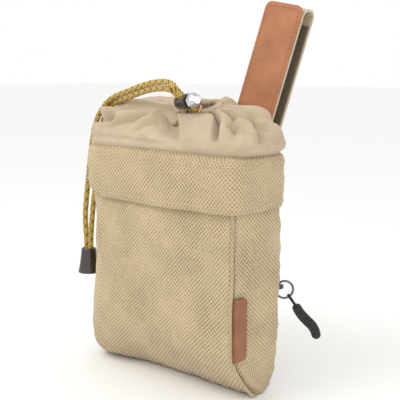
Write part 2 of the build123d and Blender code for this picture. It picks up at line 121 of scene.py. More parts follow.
# --- materials ---
class Nodes:
    """A small helper that builds one material's nodes."""

    def __init__(self, name):
        self.material = bpy.data.materials.new(name)
        self.material.use_nodes = True
        self.tree = self.material.node_tree
        self.shader = self.tree.nodes["Principled BSDF"]

    def add(self, kind, **values):
        node = self.tree.nodes.new(kind)
        for name, value in values.items():
            setattr(node, name, value)
        return node

    def link(self, start, end):
        self.tree.links.new(start, end)

    def math(self, operation, a, b=0.0, c=0.0):
        node = self.add("ShaderNodeMath", operation=operation)
        for socket, value in zip(node.inputs, (a, b, c)):
            if isinstance(value, (int, float)):
                socket.default_value = value
            else:
                self.link(value, socket)
        return node.outputs[0]

    def ramp(self, factor, stops):
        node = self.add("ShaderNodeValToRGB")
        elements = node.color_ramp.elements
        while len(elements) < len(stops):
            elements.new(0.5)
        for element, (position, color) in zip(elements, stops):
            element.position, element.color = position, (*color, 1)
        self.link(factor, node.inputs[0])
        return node.outputs[0]

    def noise(self, vector, scale, detail=3.0, roughness=0.55):
        node = self.add("ShaderNodeTexNoise")
        node.inputs["Scale"].default_value = scale
        node.inputs["Detail"].default_value = detail
        node.inputs["Roughness"].default_value = roughness
        self.link(vector, node.inputs["Vector"])
        return node.outputs[0]

    def mix(self, factor, a, b):
        node = self.add("ShaderNodeMix", data_type="RGBA")
        for socket, value in zip((node.inputs[0], node.inputs[6], node.inputs[7]), (factor, a, b)):
            if isinstance(value, (int, float)):
                socket.default_value = value
            elif isinstance(value, tuple):
                socket.default_value = (*value, 1)
            else:
                self.link(value, socket)
        return node.outputs[2]

    def uv(self):
        node = self.add("ShaderNodeUVMap", uv_map="cloth")
        split = self.add("ShaderNodeSeparateXYZ")
        self.link(node.outputs[0], split.inputs[0])
        return node.outputs[0], split.outputs[0], split.outputs[1]

    def place(self):
        return self.add("ShaderNodeTexCoord").outputs["Object"]

    def bump(self, height, strength, distance):
        node = self.add("ShaderNodeBump")
        node.inputs["Strength"].default_value = strength
        node.inputs["Distance"].default_value = distance
        self.link(height, node.inputs["Height"])
        self.link(node.outputs[0], self.shader.inputs["Normal"])

    def set(self, **values):
        for name, value in values.items():
            self.shader.inputs[name.replace("_", " ")].default_value = value
        return self.material


def woven(name, dark, light, pitch, contrast=1.0, bump=0.5, rough=0.95, slub=0.5):
    """Cloth in a plain weave whose threads cross every pitch millimetres."""
    n = Nodes(name)
    uv, across, up = n.uv()
    warp, weft = (n.math("SINE", n.math("MULTIPLY", way, 2 * math.pi / pitch)) for way in (across, up))
    cross = n.math("MULTIPLY_ADD", n.math("MULTIPLY", warp, weft), 0.5, 0.5)
    coarse = n.noise(uv, 0.035, 4.0)
    threads = []
    for scale in ((0.12, 1.1, 1), (1.1, 0.12, 1)):
        stretch = n.add("ShaderNodeMapping")
        stretch.inputs["Scale"].default_value = scale
        n.link(uv, stretch.inputs["Vector"])
        threads.append(n.noise(stretch.outputs[0], 1.0, 3.0, 0.7))
    slubs = n.math("ADD", *threads)
    tone = n.math("MULTIPLY_ADD", cross, 0.55 * contrast, 0.22)
    tone = n.math("ADD", tone, n.math("MULTIPLY", n.math("SUBTRACT", slubs, 1.0), slub))
    tone = n.math("ADD", tone, n.math("MULTIPLY", n.math("SUBTRACT", coarse, 0.5), 0.6))
    n.link(n.ramp(tone, ((0.0, dark), (0.75, light))), n.shader.inputs["Base Color"])
    height = n.math("ADD", cross, n.math("MULTIPLY", slubs, 0.5))
    n.bump(height, bump, 0.0006)
    return n.set(Roughness=rough, Sheen_Weight=0.25, Sheen_Roughness=0.5, Specular_IOR_Level=0.2)


def leather(name, dark, light):
    """Leather with fine cells and a cloudy tone."""
    n = Nodes(name)
    place = n.place()
    cells = n.add("ShaderNodeTexVoronoi", feature="DISTANCE_TO_EDGE")
    cells.inputs["Scale"].default_value = 1500.0
    n.link(place, cells.inputs["Vector"])
    cloud = n.noise(place, 90.0, 6.0, 0.6)
    fine = n.noise(place, 2600.0, 3.0, 0.6)
    tone = n.math("ADD", n.math("MULTIPLY", cloud, 0.8), n.math("MULTIPLY", fine, 0.2))
    n.link(n.ramp(tone, ((0.3, dark), (0.7, light))), n.shader.inputs["Base Color"])
    height = n.math("ADD", n.math("MULTIPLY", n.math("MINIMUM", cells.outputs[0], 0.25), 2.0), fine)
    n.bump(height, 0.35, 0.0003)
    rough = n.math("MULTIPLY_ADD", cloud, 0.25, 0.42)
    n.link(rough, n.shader.inputs["Roughness"])
    return n.set(Specular_IOR_Level=0.45)


def metal(name, color, rough, spread=0.12):
    """Metal whose tone and roughness vary a little."""
    n = Nodes(name)
    cloud = n.noise(n.place(), 900.0, 4.0, 0.6)
    tone = tuple(channel * 0.8 for channel in color)
    n.link(n.ramp(cloud, ((0.3, tone), (0.7, color))), n.shader.inputs["Base Color"])
    n.link(n.math("MULTIPLY_ADD", cloud, spread, rough - spread / 2), n.shader.inputs["Roughness"])
    n.bump(cloud, 0.05, 0.0001)
    return n.set(Metallic=1.0)


def plastic(name, dark, light, rough, scale=700.0, bump=0.2):
    """Plastic, rubber or fine thread with a grain of the given scale."""
    n = Nodes(name)
    cloud = n.noise(n.place(), scale, 5.0, 0.6)
    n.link(n.ramp(cloud, ((0.3, dark), (0.7, light))), n.shader.inputs["Base Color"])
    n.bump(cloud, bump, 0.0002)
    return n.set(Roughness=rough, Specular_IOR_Level=0.4)


def braid(name, base, light, fleck, around, pitch):
    """A round braid with a few dark yarns. UV X is millimetres along, Y is 0 to 1 around."""
    n = Nodes(name)
    uv, along, turn = n.uv()
    forward = n.math("ADD", n.math("MULTIPLY", turn, around), n.math("DIVIDE", along, pitch))
    backward = n.math("SUBTRACT", n.math("MULTIPLY", turn, around), n.math("DIVIDE", along, pitch))
    turned = (n.math("MULTIPLY", value, math.pi) for value in (forward, backward))
    one, two = (n.math("ABSOLUTE", n.math("SINE", value)) for value in turned)
    weave = n.math("MULTIPLY", one, two)
    here, there = n.math("FLOOR", forward), n.math("FLOOR", backward)
    over = n.math("FLOORED_MODULO", n.math("ADD", here, there), 2.0)
    first = n.math("LESS_THAN", n.math("FLOORED_MODULO", here, 4.0), 0.5)
    second = n.math("LESS_THAN", n.math("FLOORED_MODULO", there, 4.0), 0.5)
    under = n.math("SUBTRACT", 1.0, over)
    dark = n.math("ADD", n.math("MULTIPLY", over, first), n.math("MULTIPLY", under, second))
    # Painted shade and highlight: the colour falls to a third of the base in the grooves between yarns and
    # rises to the light colour on each yarn's crown.
    body = n.ramp(weave, ((0.0, tuple(c * 0.35 for c in base)), (0.35, base), (1.0, light)))
    n.link(n.mix(n.math("MULTIPLY", dark, 0.8), body, fleck), n.shader.inputs["Base Color"])
    n.bump(n.math("ADD", weave, n.math("MULTIPLY", n.noise(uv, 5.0, 2.0), 0.3)), 0.6, 0.0004)
    return n.set(Roughness=0.75, Sheen_Weight=0.2, Specular_IOR_Level=0.3)


MATERIALS = {
    "canvas": woven("canvas", (0.11, 0.075, 0.038), (0.63, 0.495, 0.30), 2.35, 1.2, slub=0.4),
    "cuff_canvas": woven("cuff_canvas", (0.10, 0.068, 0.034), (0.61, 0.475, 0.285), 2.35, 1.35, slub=0.4),
    "collar_cloth": woven("collar_cloth", (0.36, 0.27, 0.165), (0.72, 0.595, 0.43), 0.7, 0.4, 0.2, slub=0.25),
    "webbing": woven("webbing", (0.36, 0.28, 0.18), (0.76, 0.65, 0.49), 1.1, 0.9, 0.5, slub=0.2),
    "olive_webbing": woven("olive_webbing", (0.075, 0.055, 0.03), (0.20, 0.16, 0.10), 1.1, 1.0, 0.6,
                           slub=0.2),
    "zip_cloth": woven("zip_cloth", (0.02, 0.018, 0.015), (0.09, 0.08, 0.07), 0.5, 0.8, 0.3, slub=0.2),
    "lining": woven("lining", (0.12, 0.11, 0.09), (0.30, 0.28, 0.25), 0.6, 0.5, 0.2, rough=0.5, slub=0.1),
    "thread": plastic("thread", (0.50, 0.38, 0.22), (0.78, 0.66, 0.46), 0.8, 3000.0, 0.5),
    # Painted shadow: a near-black brown for the dark strips laid in the corner seams' grooves.
    "painted_seam_shadow": plastic("painted_seam_shadow", (0.045, 0.03, 0.018), (0.10, 0.07, 0.04), 0.9, 3000.0, 0.5),
    "tan_thread": plastic("tan_thread", (0.22, 0.10, 0.05), (0.40, 0.20, 0.10), 0.7, 3000.0, 0.5),
    "pale_thread": plastic("pale_thread", (0.62, 0.48, 0.30), (0.86, 0.74, 0.54), 0.8, 3000.0, 0.5),
    "leather": leather("leather", (0.32, 0.115, 0.045), (0.50, 0.205, 0.088)),
    "tag_leather": leather("tag_leather", (0.20, 0.072, 0.03), (0.36, 0.145, 0.062)),
    "gunmetal": metal("gunmetal", (0.115, 0.10, 0.095), 0.2),
    "polished": metal("polished", (0.62, 0.61, 0.63), 0.12, 0.06),
    "steel": metal("steel", (0.55, 0.55, 0.57), 0.3),
    "dark_steel": metal("dark_steel", (0.16, 0.165, 0.17), 0.22),
    "copper": metal("copper", (0.86, 0.42, 0.27), 0.25),
    "rubber": plastic("rubber", (0.012, 0.012, 0.014), (0.035, 0.035, 0.04), 0.55),
    "coil": plastic("coil", (0.015, 0.014, 0.013), (0.05, 0.045, 0.04), 0.4),
    "cord": braid("cord", (0.56, 0.36, 0.06), (0.97, 0.70, 0.20), (0.07, 0.035, 0.015), 8.0, 1.35),
    "black_braid": braid("black_braid", (0.01, 0.01, 0.01), (0.06, 0.06, 0.065), (0.005, 0.005, 0.005), 8.0,
                         0.8),
}


# --- mesh building ---
def new_object(name, mesh, material, body="pouch"):
    """A smooth-shaded piece of one material that rides on a body, when one is given."""
    piece = bpy.data.objects.new(name, mesh)
    bpy.context.collection.objects.link(piece)
    mesh.materials.append(MATERIALS[material])
    mesh.polygons.foreach_set("use_smooth", [True] * len(mesh.polygons))
    if body:
        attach(piece, body)
    return piece


def grid_mesh(name, rows, uv, closed_across=False, closed_along=False):
    """A mesh of quads from rows of points. Closed rows have one more column of UVs than of points."""
    rows, uv = np.asarray(rows, float), np.asarray(uv, float)
    count, width = rows.shape[:2]
    across = width if closed_across else width - 1
    along = count if closed_along else count - 1
    faces, corners = [], []
    for i in range(along):
        for j in range(across):
            square = ((i, j), (i, j + 1), (i + 1, j + 1), (i + 1, j))
            faces.append([(a % count) * width + b % width for a, b in square])
            corners.extend(uv[a][b] for a, b in square)
    mesh = bpy.data.meshes.new(name)
    mesh.from_pydata(at(rows.reshape(-1, 3)).tolist(), [], faces)
    layer = mesh.uv_layers.new(name="cloth")
    layer.data.foreach_set("uv", np.asarray(corners, float).ravel())
    mesh.update()
    return mesh


def row_lengths(rows, closed):
    """Each point's distance along its row, with one more column where the row closes."""
    rows = np.asarray(rows, float)
    ends = np.concatenate([rows, rows[:, :1]], axis=1) if closed else rows
    steps = np.linalg.norm(np.diff(ends, axis=1), axis=2)
    return np.concatenate([np.zeros((len(rows), 1)), np.cumsum(steps, axis=1)], axis=1)


def distances(path, closed=False):
    """Each point's distance along a path."""
    return row_lengths(np.asarray(path, float)[None], closed)[0]


def sampled(points, steps, places):
    """A path's points at places along it, where steps are its own points' distances."""
    return np.column_stack([np.interp(places, steps, points[:, k]) for k in range(points.shape[1])])


def divided(loop, step):
    """A closed flat loop with more points between its own, about a step apart."""
    loop, dense = np.asarray(loop, float), []
    for start, end in zip(loop, np.roll(loop, -1, axis=0)):
        count = max(1, int(math.dist(start, end) / step))
        dense.extend(start + (end - start) * k / count for k in range(count))
    return np.array(dense)


def uv_grid(across, along_rows):
    """UVs from a value for each column and a value for each row."""
    return np.stack(np.broadcast_arrays(across, np.asarray(along_rows, float)[:, None]), axis=2)


def unit(vectors):
    """The same directions at length one."""
    return vectors / np.linalg.norm(vectors, axis=-1, keepdims=True)


def raised(flat, height=0.0):
    """Flat points or directions, with a height for the third value."""
    return np.column_stack([flat, np.full(len(flat), height)])


def level_path(x_start, x_end, y, z, count):
    """A straight path along X."""
    return raised(np.column_stack([np.linspace(x_start, x_end, count), np.full(count, y)]), z)


def thicken(piece, thick):
    """Give an open surface a thickness in millimetres, inwards."""
    shell = piece.modifiers.new("thickness", "SOLIDIFY")
    shell.thickness, shell.offset = thick * 0.001, -1
    bpy.context.view_layer.objects.active = piece
    bpy.ops.object.modifier_apply(modifier=shell.name)


def frames(points, up=(0, 0, 1)):
    """A side and an up direction at each point of a path, turned as little as possible."""
    points = np.asarray(points, float)
    normal = np.asarray(up, float)
    sides, ups = [], []
    for tangent in unit(np.gradient(points, axis=0)):
        normal = normal - tangent * normal.dot(tangent)
        normal /= np.linalg.norm(normal)
        sides.append(np.cross(tangent, normal))
        ups.append(normal.copy())
    return np.array(sides), np.array(ups)


def swept(name, points, section, material, up=(0, 0, 1)):
    """A closed section of (side, up) points carried along a path, with its ends filled."""
    sides, ups = frames(points, up)
    rows = points[:, None] + sides[:, None] * section[None, :, :1] + ups[:, None] * section[None, :, 1:]
    uv = uv_grid(distances(section, closed=True), distances(points))[..., ::-1]
    mesh = grid_mesh(name, rows, uv, closed_across=True)
    close_mesh(mesh)
    return new_object(name, mesh, material)


def close_mesh(mesh, weld=False):
    """Fill a mesh's open ends, or weld the points that meet, and turn its faces outwards."""
    edit = bmesh.new()
    edit.from_mesh(mesh)
    if weld:
        bmesh.ops.remove_doubles(edit, verts=edit.verts, dist=1e-7)
    else:
        open_edges = [edge for edge in edit.edges if edge.is_boundary]
        bmesh.ops.holes_fill(edit, edges=open_edges, sides=0)
    bmesh.ops.recalc_face_normals(edit, faces=edit.faces)
    edit.to_mesh(mesh)
    edit.free()


def circle(radius, sides):
    turns = np.arange(sides) * 2 * math.pi / sides
    return np.stack([radius * np.cos(turns), radius * np.sin(turns)], axis=1)


def flat_section(width, thick, steps=8):
    """A band's section with round edges, its width along the section's first axis."""
    round_half = thick / 2
    turns = np.linspace(-math.pi / 2, math.pi / 2, steps)
    right = np.stack([width / 2 - round_half + round_half * np.cos(turns), round_half * np.sin(turns)],
                     axis=1)
    return np.concatenate([right, -right])


def rounded_path(points, radii, step=0.8):
    """A flat path whose corners are arcs, as points no more than a step apart on the arcs."""
    points = [np.asarray(point, float) for point in points]
    path = [points[0]]
    for before, here, after, radius in zip(points, points[1:], points[2:], radii):
        back, ahead = before - here, after - here
        back, ahead = back / np.linalg.norm(back), ahead / np.linalg.norm(ahead)
        half = math.acos(np.clip(back.dot(ahead), -1, 1)) / 2
        reach = radius / math.tan(half)
        bisector = (back + ahead) / np.linalg.norm(back + ahead)
        center = here + bisector * radius / math.sin(half)
        start, end = here + back * reach - center, here + ahead * reach - center
        sweep = math.pi - 2 * half
        count = max(3, int(radius * sweep / step) + 2)
        for share in np.linspace(0, 1, count):
            spoke = start * math.sin((1 - share) * sweep) + end * math.sin(share * sweep)
            path.append(center + spoke / math.sin(sweep))
    path.append(points[-1])
    dense = [path[0]]
    for start, end in zip(path, path[1:]):
        pieces = max(1, int(np.linalg.norm(end - start) / (2 * step)))
        dense.extend(start + (end - start) * f for f in np.linspace(0, 1, pieces + 1)[1:])
    return np.array(dense)


def lathe(name, profile, origin, axis, material, steps):
    """A closed profile of (radius, height) points turned about an axis."""
    axis = unit(np.asarray(axis, float))
    side = unit(np.cross(axis, (0.3, 1, 0.1)))
    front = np.cross(axis, side)
    turns = np.arange(steps) * 2 * math.pi / steps
    ring = np.cos(turns)[:, None] * side + np.sin(turns)[:, None] * front
    profile = np.asarray(profile, float)
    rows = np.asarray(origin, float) + ring[:, None] * profile[None, :, :1] + axis * profile[None, :, 1:]
    uv = uv_grid(distances(profile, closed=True), 12.0 * np.arange(steps + 1))
    mesh = grid_mesh(name, rows, uv, closed_across=True, closed_along=True)
    close_mesh(mesh, weld=True)
    return new_object(name, mesh, material)


def curved(a, b, c, d, share):
    """A point at a share of the way from b to c on a Catmull-Rom curve."""
    return 0.5 * (2 * b + (c - a) * share + (2 * a - 5 * b + 4 * c - d) * share ** 2
                  + (3 * b - a - 3 * c + d) * share ** 3)


def smooth_profile(points, steps):
    """A closed profile made smooth by a curve through its points."""
    points = np.asarray(points, float)
    count = len(points)
    result = []
    for i in range(count):
        a, b, c, d = (points[(i + k) % count] for k in (-1, 0, 1, 2))
        result.extend(curved(a, b, c, d, share) for share in np.arange(steps) / steps)
    return np.array(result)


def stitches(name, path, out, material="thread", pitch=3.0, length=2.1, radius=0.28):
    """Separate stitches laid along a path, each a small rounded grain pressed into the surface."""
    out = np.broadcast_to(np.asarray(out, float), path.shape)
    steps = distances(path)
    vertices, faces = [], []
    # Rings along the grain, from one end to the other: place and size.
    shape = ((-1.0, 0.25), (-0.75, 0.8), (0.0, 1.0), (0.75, 0.8), (1.0, 0.25))
    sides = 6
    for middle in np.arange(pitch / 2, steps[-1] - length / 3, pitch):
        place, ahead = sampled(path, steps, (middle, middle + 0.5))
        tangent = unit(ahead - place)
        lift = sampled(out, steps, (middle,))[0]
        lift = unit(lift - tangent * lift.dot(tangent))
        side = np.cross(tangent, lift)
        base = len(vertices)
        for reach, size in shape:
            for k in range(sides):
                turn = 2 * math.pi * k / sides
                spoke = side * math.cos(turn) + lift * (math.sin(turn) * 0.8 + 0.15)
                vertices.append(place + tangent * reach * length / 2 + spoke * radius * size)
        for ring in range(len(shape) - 1):
            for k in range(sides):
                a, b = base + ring * sides + k, base + ring * sides + (k + 1) % sides
                faces.append((a, b, b + sides, a + sides))
        faces.append(tuple(range(base + sides - 1, base - 1, -1)))
        last = base + (len(shape) - 1) * sides
        faces.append(tuple(range(last, last + sides)))
    mesh = bpy.data.meshes.new(name)
    mesh.from_pydata(at(vertices).tolist(), [], faces)
    return new_object(name, mesh, material)


def drift(points, scale, seed):
    """Smooth noise, about -1 to 1, at each point."""
    offset = Vector((seed * 17.3, seed * 5.1, seed * 9.7))
    flat = np.asarray(points, float).reshape(-1, 3)
    values = [noise.noise(Vector(point) / scale + offset) for point in flat]
    return np.array(values).reshape(np.asarray(points).shape[:-1]) * 1.6


# --- the bag's outline ---
LEFT_RADIUS, RIGHT_RADIUS = 17.0, 2.0
# The front and the back run in to the bottom seam: height and depth.
FRONT_PROFILE = ((0, 1.2), (3.5, -2.9), (7, -6.2), (10, -8.9), (18, -14.8), (25, -18.1), (31, -18.9),
                 (40, -19))
BACK_PROFILE = ((0, 8.4), (0.8, 11), (2.5, 13.2), (5.6, 15.4), (12, 17.9), (19, 18.8), (28, 19))
LEFT_PROFILE = ((0, 3.4), (2, 2.0), (7, 0.9), (14, 0.3), (24, 0))
# The left end stays full almost to the floor.
FULL_FRONT_PROFILE = (
    (0, -3.8), (1.5, -7.6), (4, -12.2), (8, -16.2), (13, -18.6), (22, -19.5), (36, -19.3), (50, -19),
)
FULL_LEFT_PROFILE = (
    (0, 2.6), (2, 0.8), (5, -0.6), (12, -2.0), (22, -1.8), (34, -0.6), (46, 0.9), (60, 2.2), (92, 2.6),
    (101, 1.0), (110, 0),
)
CUFF_LOW, CUFF_TOP = 99.0, 126.0
PARTS = {"front": 76, "front_corner": 6, "gusset": 26, "back_corner": 6, "back": 76, "back_arc": 16, "end": 5,
         "front_arc": 16}


def outline(x_low, x_high, depth, r_left, r_right):
    """Once round a rounded rectangle from the front's left end: points and outward normals."""
    r_left, r_right = min(r_left, 0.92 * depth), min(r_right, 0.5 * depth)

    def line(start, end, count, normal):
        steps = np.arange(count) / count
        return [(np.array(start) * (1 - s) + np.array(end) * s, normal) for s in steps]

    def arc(center, radius, start, count):
        result = []
        for s in np.arange(count) / count:
            turn = math.radians(start + 90 * s)
            normal = np.array([math.cos(turn), math.sin(turn)])
            result.append((np.array(center) + radius * normal, normal))
        return result

    d, rl, rr = depth, r_left, r_right
    loop = line((x_low + rl, -d), (x_high - rr, -d), PARTS["front"], np.array([0, -1.0]))
    loop += arc((x_high - rr, -d + rr), rr, -90, PARTS["front_corner"])
    loop += line((x_high, -d + rr), (x_high, d - rr), PARTS["gusset"], np.array([1.0, 0]))
    loop += arc((x_high - rr, d - rr), rr, 0, PARTS["back_corner"])
    loop += line((x_high - rr, d), (x_low + rl, d), PARTS["back"], np.array([0, 1.0]))
    loop += arc((x_low + rl, d - rl), rl, 90, PARTS["back_arc"])
    loop += line((x_low, d - rl), (x_low, -d + rl), PARTS["end"], np.array([-1.0, 0]))
    loop += arc((x_low + rl, -d + rl), rl, 180, PARTS["front_arc"])
    return np.array([p for p, _ in loop]), np.array([n for _, n in loop])


def along(profile, height):
    """A profile's value at a height."""
    return np.interp(height, *np.array(profile).T)


# --- canvas body ---
def body_rows(inset, heights):
    """The bag's plain form at each height, inset from the canvas, blended into its fuller left end."""
    rows, normals = [], []
    for height in heights:
        back, ends = along(BACK_PROFILE, height), []
        for front, left in ((along(FRONT_PROFILE, height), along(LEFT_PROFILE, height)),
                            (along(FULL_FRONT_PROFILE, height), along(FULL_LEFT_PROFILE, height))):
            loop, normal = outline(-HALF_WIDTH + left + inset, HALF_WIDTH - inset, (back - front) / 2 - inset,
                                   LEFT_RADIUS - inset, max(RIGHT_RADIUS - inset, 0.4))
            ends.append(loop + (0, (front + back) / 2))
        share = np.clip((-8 - ends[0][:, :1]) / 40, 0, 1)
        share = share * share * (3 - 2 * share)
        loop = ends[0] * (1 - share) + ends[1] * share
        rows.append(raised(loop, height))
        normals.append(raised(normal))
    return np.array(rows), np.array(normals)


def body_relief(rows, normals):
    """How far the cloth stands out: full panels, a slack gusset, and puckers along the seams."""
    x, y, z = rows[..., 0], rows[..., 1], rows[..., 2]
    face, end = np.abs(normals[..., 1]), np.clip(normals[..., 0], 0, 1)
    back = np.clip(normals[..., 1], 0, 1)
    under_cuff = np.clip((CUFF_LOW - z) / 10, 0, 1)
    inner = np.clip((HALF_WIDTH - 4 - np.abs(x)) / 20, 0, 1)
    low = np.clip(z / 30, 0, 1)
    belly = 1.2 * face * inner * low * under_cuff
    across = np.clip(y / 19, -1, 1)
    slack = np.clip(across + 0.3, 0, 1) - 0.9 * np.exp(-((across + 0.62) / 0.25) ** 2)
    slack = slack * end * low * under_cuff
    groove = -2.0 * end * np.exp(-((y - 1.6 - along(FRONT_PROFILE, z)) / 1.7) ** 2)
    broad = 0.9 * drift(rows * (1, 1, 0.7), 30, 1) + 0.45 * drift(rows, 12, 2)
    seam_gap = np.abs(HALF_WIDTH - x)
    pucker = np.exp(-seam_gap / 8) * np.sin(z * 2 * math.pi / 8.5 + 2.5 * drift(rows, 15, 3)) * face
    hem = np.exp(-z / 9) * np.sin(x * 2 * math.pi / 9 + 2.5 * drift(rows, 18, 4)) * face
    gusset_hem = 0.5 * end * np.exp(-z / 14) * np.sin((y + z) * 2 * math.pi / 7 + 2 * drift(rows, 12, 5))
    relief = belly + slack + (broad + 0.45 * pucker + 0.5 * hem + gusset_hem) * under_cuff + groove
    relief = relief - 0.9 * np.clip(-normals[..., 0], 0, 1) * low * under_cuff
    at_zip = back * np.clip((13 - np.abs(z - 54)) / 4, 0, 1) * np.clip((x + 46) / 4, 0, 1)
    full_corner = np.exp(-((HALF_WIDTH - x) / 9) ** 2) * np.clip((y + 4) / 18, 0, 1) * low * under_cuff
    relief = relief + 1.2 * full_corner * (1 - 0.6 * at_zip)
    # The canvas lies flat under the tape's patch. A known fault: the last line should also take the relief
    # away at the zip, as relief * (1 - at_zip), and without that the canvas stands over the zip's tapes.
    at_patch = back * np.clip((20 - np.abs(x - 17)) / 4, 0, 1) * np.clip((19 - np.abs(z - 77)) / 4, 0, 1)
    return relief - at_patch * np.maximum(relief - 0.1, 0) * (1 - at_zip) + at_zip * np.minimum(relief, -0.15)


def make_body():
    heights = np.concatenate([np.linspace(0, 30, 34)[:-1], np.linspace(30, CUFF_TOP, 76)])
    rows, normals = body_rows(0.0, heights)
    rows = rows + normals * body_relief(rows, normals)[..., None]
    girth = row_lengths(rows, True).mean(axis=0)
    mesh = grid_mesh("bag_body", rows, uv_grid(girth, heights), closed_across=True)
    body = new_object("bag_body", mesh, "canvas")
    thicken(body, 1.1)
    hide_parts("front_panel", "back_panel", "left_gusset", "right_gusset")


# --- cuff ---
# How far the folded band stands out, and its height.
CUFF_SECTION = ((-0.4, 101.5), (0.6, 99.6), (2.0, 99.0), (3.0, 99.9), (3.4, 103.0), (3.7, 110.0),
                (3.6, 118.0),
                (3.2, 123.4), (2.5, 125.8), (1.2, 126.3), (-0.2, 125.4))


def cuff_outline(out):
    """The band's outline, standing out from the bag."""
    return outline(-HALF_WIDTH - 0.3 * out, HALF_WIDTH + 0.85 * out, HALF_DEPTH + out,
                   LEFT_RADIUS + 1.1 * out,
                   RIGHT_RADIUS + 1.4 * max(out, 0))


def cuff_surface(section):
    """A wavy row round the cuff for each (out, height) of a section."""
    rows = []
    for out, height in section:
        loop, normal = cuff_outline(out)
        base = raised(loop, 112.0)
        sag = np.clip(out / 3, 0, 1)
        wave = sag * (0.55 * drift(base, 26, 5) + 0.3 * drift(base + (0, 0, 3 * height), 14, 6))
        edge = 0.7 * drift(base, 30, 7)
        # The hem rides up at the left end.
        end = 8.0 * np.clip((-36 - loop[:, 0]) / 21, 0, 1) - 1.4 * np.exp(-((loop[:, 0] + 2) / 26) ** 2)
        edge = edge + end * np.clip((116 - height) / 14, 0, 1)
        rows.append(raised(loop, height + edge) + raised(normal) * wave[:, None])
    return np.array(rows)


def make_cuff():
    section = smooth_profile(CUFF_SECTION, 4)
    rows = cuff_surface(section)
    girth = distances(rows[len(rows) // 2], closed=True)
    uv = uv_grid(girth, distances(section, closed=True))
    mesh = grid_mesh("cuff", rows, uv, closed_across=True, closed_along=True)
    cuff = new_object("cuff", mesh, "cuff_canvas")
    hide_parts("cuff_band")
    # This flat height was chosen to pass the area test. A fold like this is cut about 54 mm high.
    for name, out, height in (("cuff_top_stitching", 3.45, 122.6), ("cuff_hem_stitching", 3.42, 102.2)):
        line = cuff_surface(((out, height),))[0]
        _, normal = cuff_outline(out)
        stitches(name, line, raised(normal), radius=0.26, pitch=2.8, length=2.0)


# --- gathered collar ---
# Each ring: height, left, right, front, back, left and right corner radius, and where the flap's middle
# lies on its front.
COLLAR_RINGS = (
    (120.5, -55.2, 55.2, -17.2, 17.2, 14.0, 5.0, 34.6),
    (125.6, -56.0, 56.8, -18.5, 18.5, 15.0, 5.0, 34.6),
    (129.6, -55.0, 61.4, -20.8, 21.0, 16.0, 7.0, 34.6),
    (134.6, -54.4, 61.8, -20.4, 22.0, 16.0, 9.0, 33.0),
    (141.4, -53.0, 54.0, -13.4, 21.0, 14.0, 9.0, 27.0),
    (147.0, -44.0, 43.5, -6.2, 18.8, 10.0, 9.0, 20.5),
)
MOUTH_CENTER = np.array([11.0, 6.4, 148.6])
MOUTH_TILT = math.radians(19.0)
MOUTH_SIDE = np.array([1.0, 0, 0])
MOUTH_BACK = np.array([0, math.cos(MOUTH_TILT), math.sin(MOUTH_TILT)])
MOUTH_UP = np.array([0, -math.sin(MOUTH_TILT), math.cos(MOUTH_TILT)])
CASING_HALF_X, CASING_HALF_Y, CASING_CORNER, CASING_RADIUS = 13.0, 7.6, 7.0, 2.05
EYELET_CENTER = np.array([15.7, -2.1, 147.6])
AROUND = 560
COLLAR_GIRTH = 296.0
COLLAR_BACK = 22.5
PLEATS = 27
# The flap's half width, the share of the mouth that it takes each way, and each ring's part in that.
FLAP_HALF = 8.6
FLAP_AT_MOUTH = 0.105
FLAP_SHARES = (0, 0, 0, 0.04, 0.14, 0.38)
# Creases are laid out with this many millimetres to a step up the collar.
CREASE_STEP = 8.0
# Round the collar from the flap's middle, in millimetres at its base, the cloth's height over its plain form:
# the flap, the hollows beside it, and the rolls between the creases.
FOLDS = (
    (0, 1.2), (6, 1.2), (8.6, 1.0), (9.8, -0.6), (11.2, -5.6), (13.2, -5.0), (15, 0.8), (19, 2.6),
    (22, 0.2), (24, -2.2), (27, 1.8), (33, 3.0), (38, 1.0), (41, -3.4), (44, 0.2), (50, 3.0), (58, 3.6),
    (64, 1.2), (68, -3.2), (72, 0.6), (78, 3.6), (87, 4.6), (95, 2.2), (100, -3.2), (103, 0.6), (110, 3.2),
    (117, 1.0), (121, -3.0), (126, 2.4), (134, 3.2), (140, -0.6), (143, -3.2), (147, 2.0), (-144, 3.4),
    (-136, 2.6), (-131, -1.4), (-127, 2.4), (-120, 2.2), (-112, 1.4), (-104, 1.6), (-96, 0.6), (-88, 1.4),
    (-78, 1.6), (-66, 1.0), (-54, 2.0), (-46, 1.0), (-38, 2.6), (-31, 2.4), (-25, -0.6), (-20, -5.2),
    (-14, -6.4), (-11, -5.8), (-9.8, -0.6), (-8.6, 1.0), (-6, 1.2),
)
# Creases that run aslant: distance round the collar and step up it at both ends, depth and half width.
CREASES = (
    (-116, 3.1, -62, 4.1, 4.6, 2.2), (-70, 3.2, -34, 4.7, 3.4, 2.0), (-48, 3.0, -22, 4.2, 3.0, 1.8),
    (-100, 4.5, -40, 5.2, 3.2, 2.0), (14, 4.6, 34, 3.2, 3.0, 1.5), (18, 5.2, 52, 3.4, 3.2, 1.6),
    (30, 5.2, 66, 3.6, 3.0, 1.8), (24, 3.2, 60, 2.5, 1.4, 2.6), (-90, 2.5, -20, 2.2, 0.9, 3.0),
    (-24, 2.4, 12, 2.7, 0.8, 3.0),
)
# Round the collar, how much higher its upper part stands than its plain form.
CRESTS = (
    (-148, 3.6), (-128, 3.6), (-114, 2.6), (-95, 1.6), (-78, 0.4), (-55, -1.8), (0, -2.2), (30, -2.0),
    (48, -1.6), (64, -1.6), (74, 1.2), (84, 3.4), (94, 3.8), (106, 2.0), (125, 2.2), (148, 3.6),
)


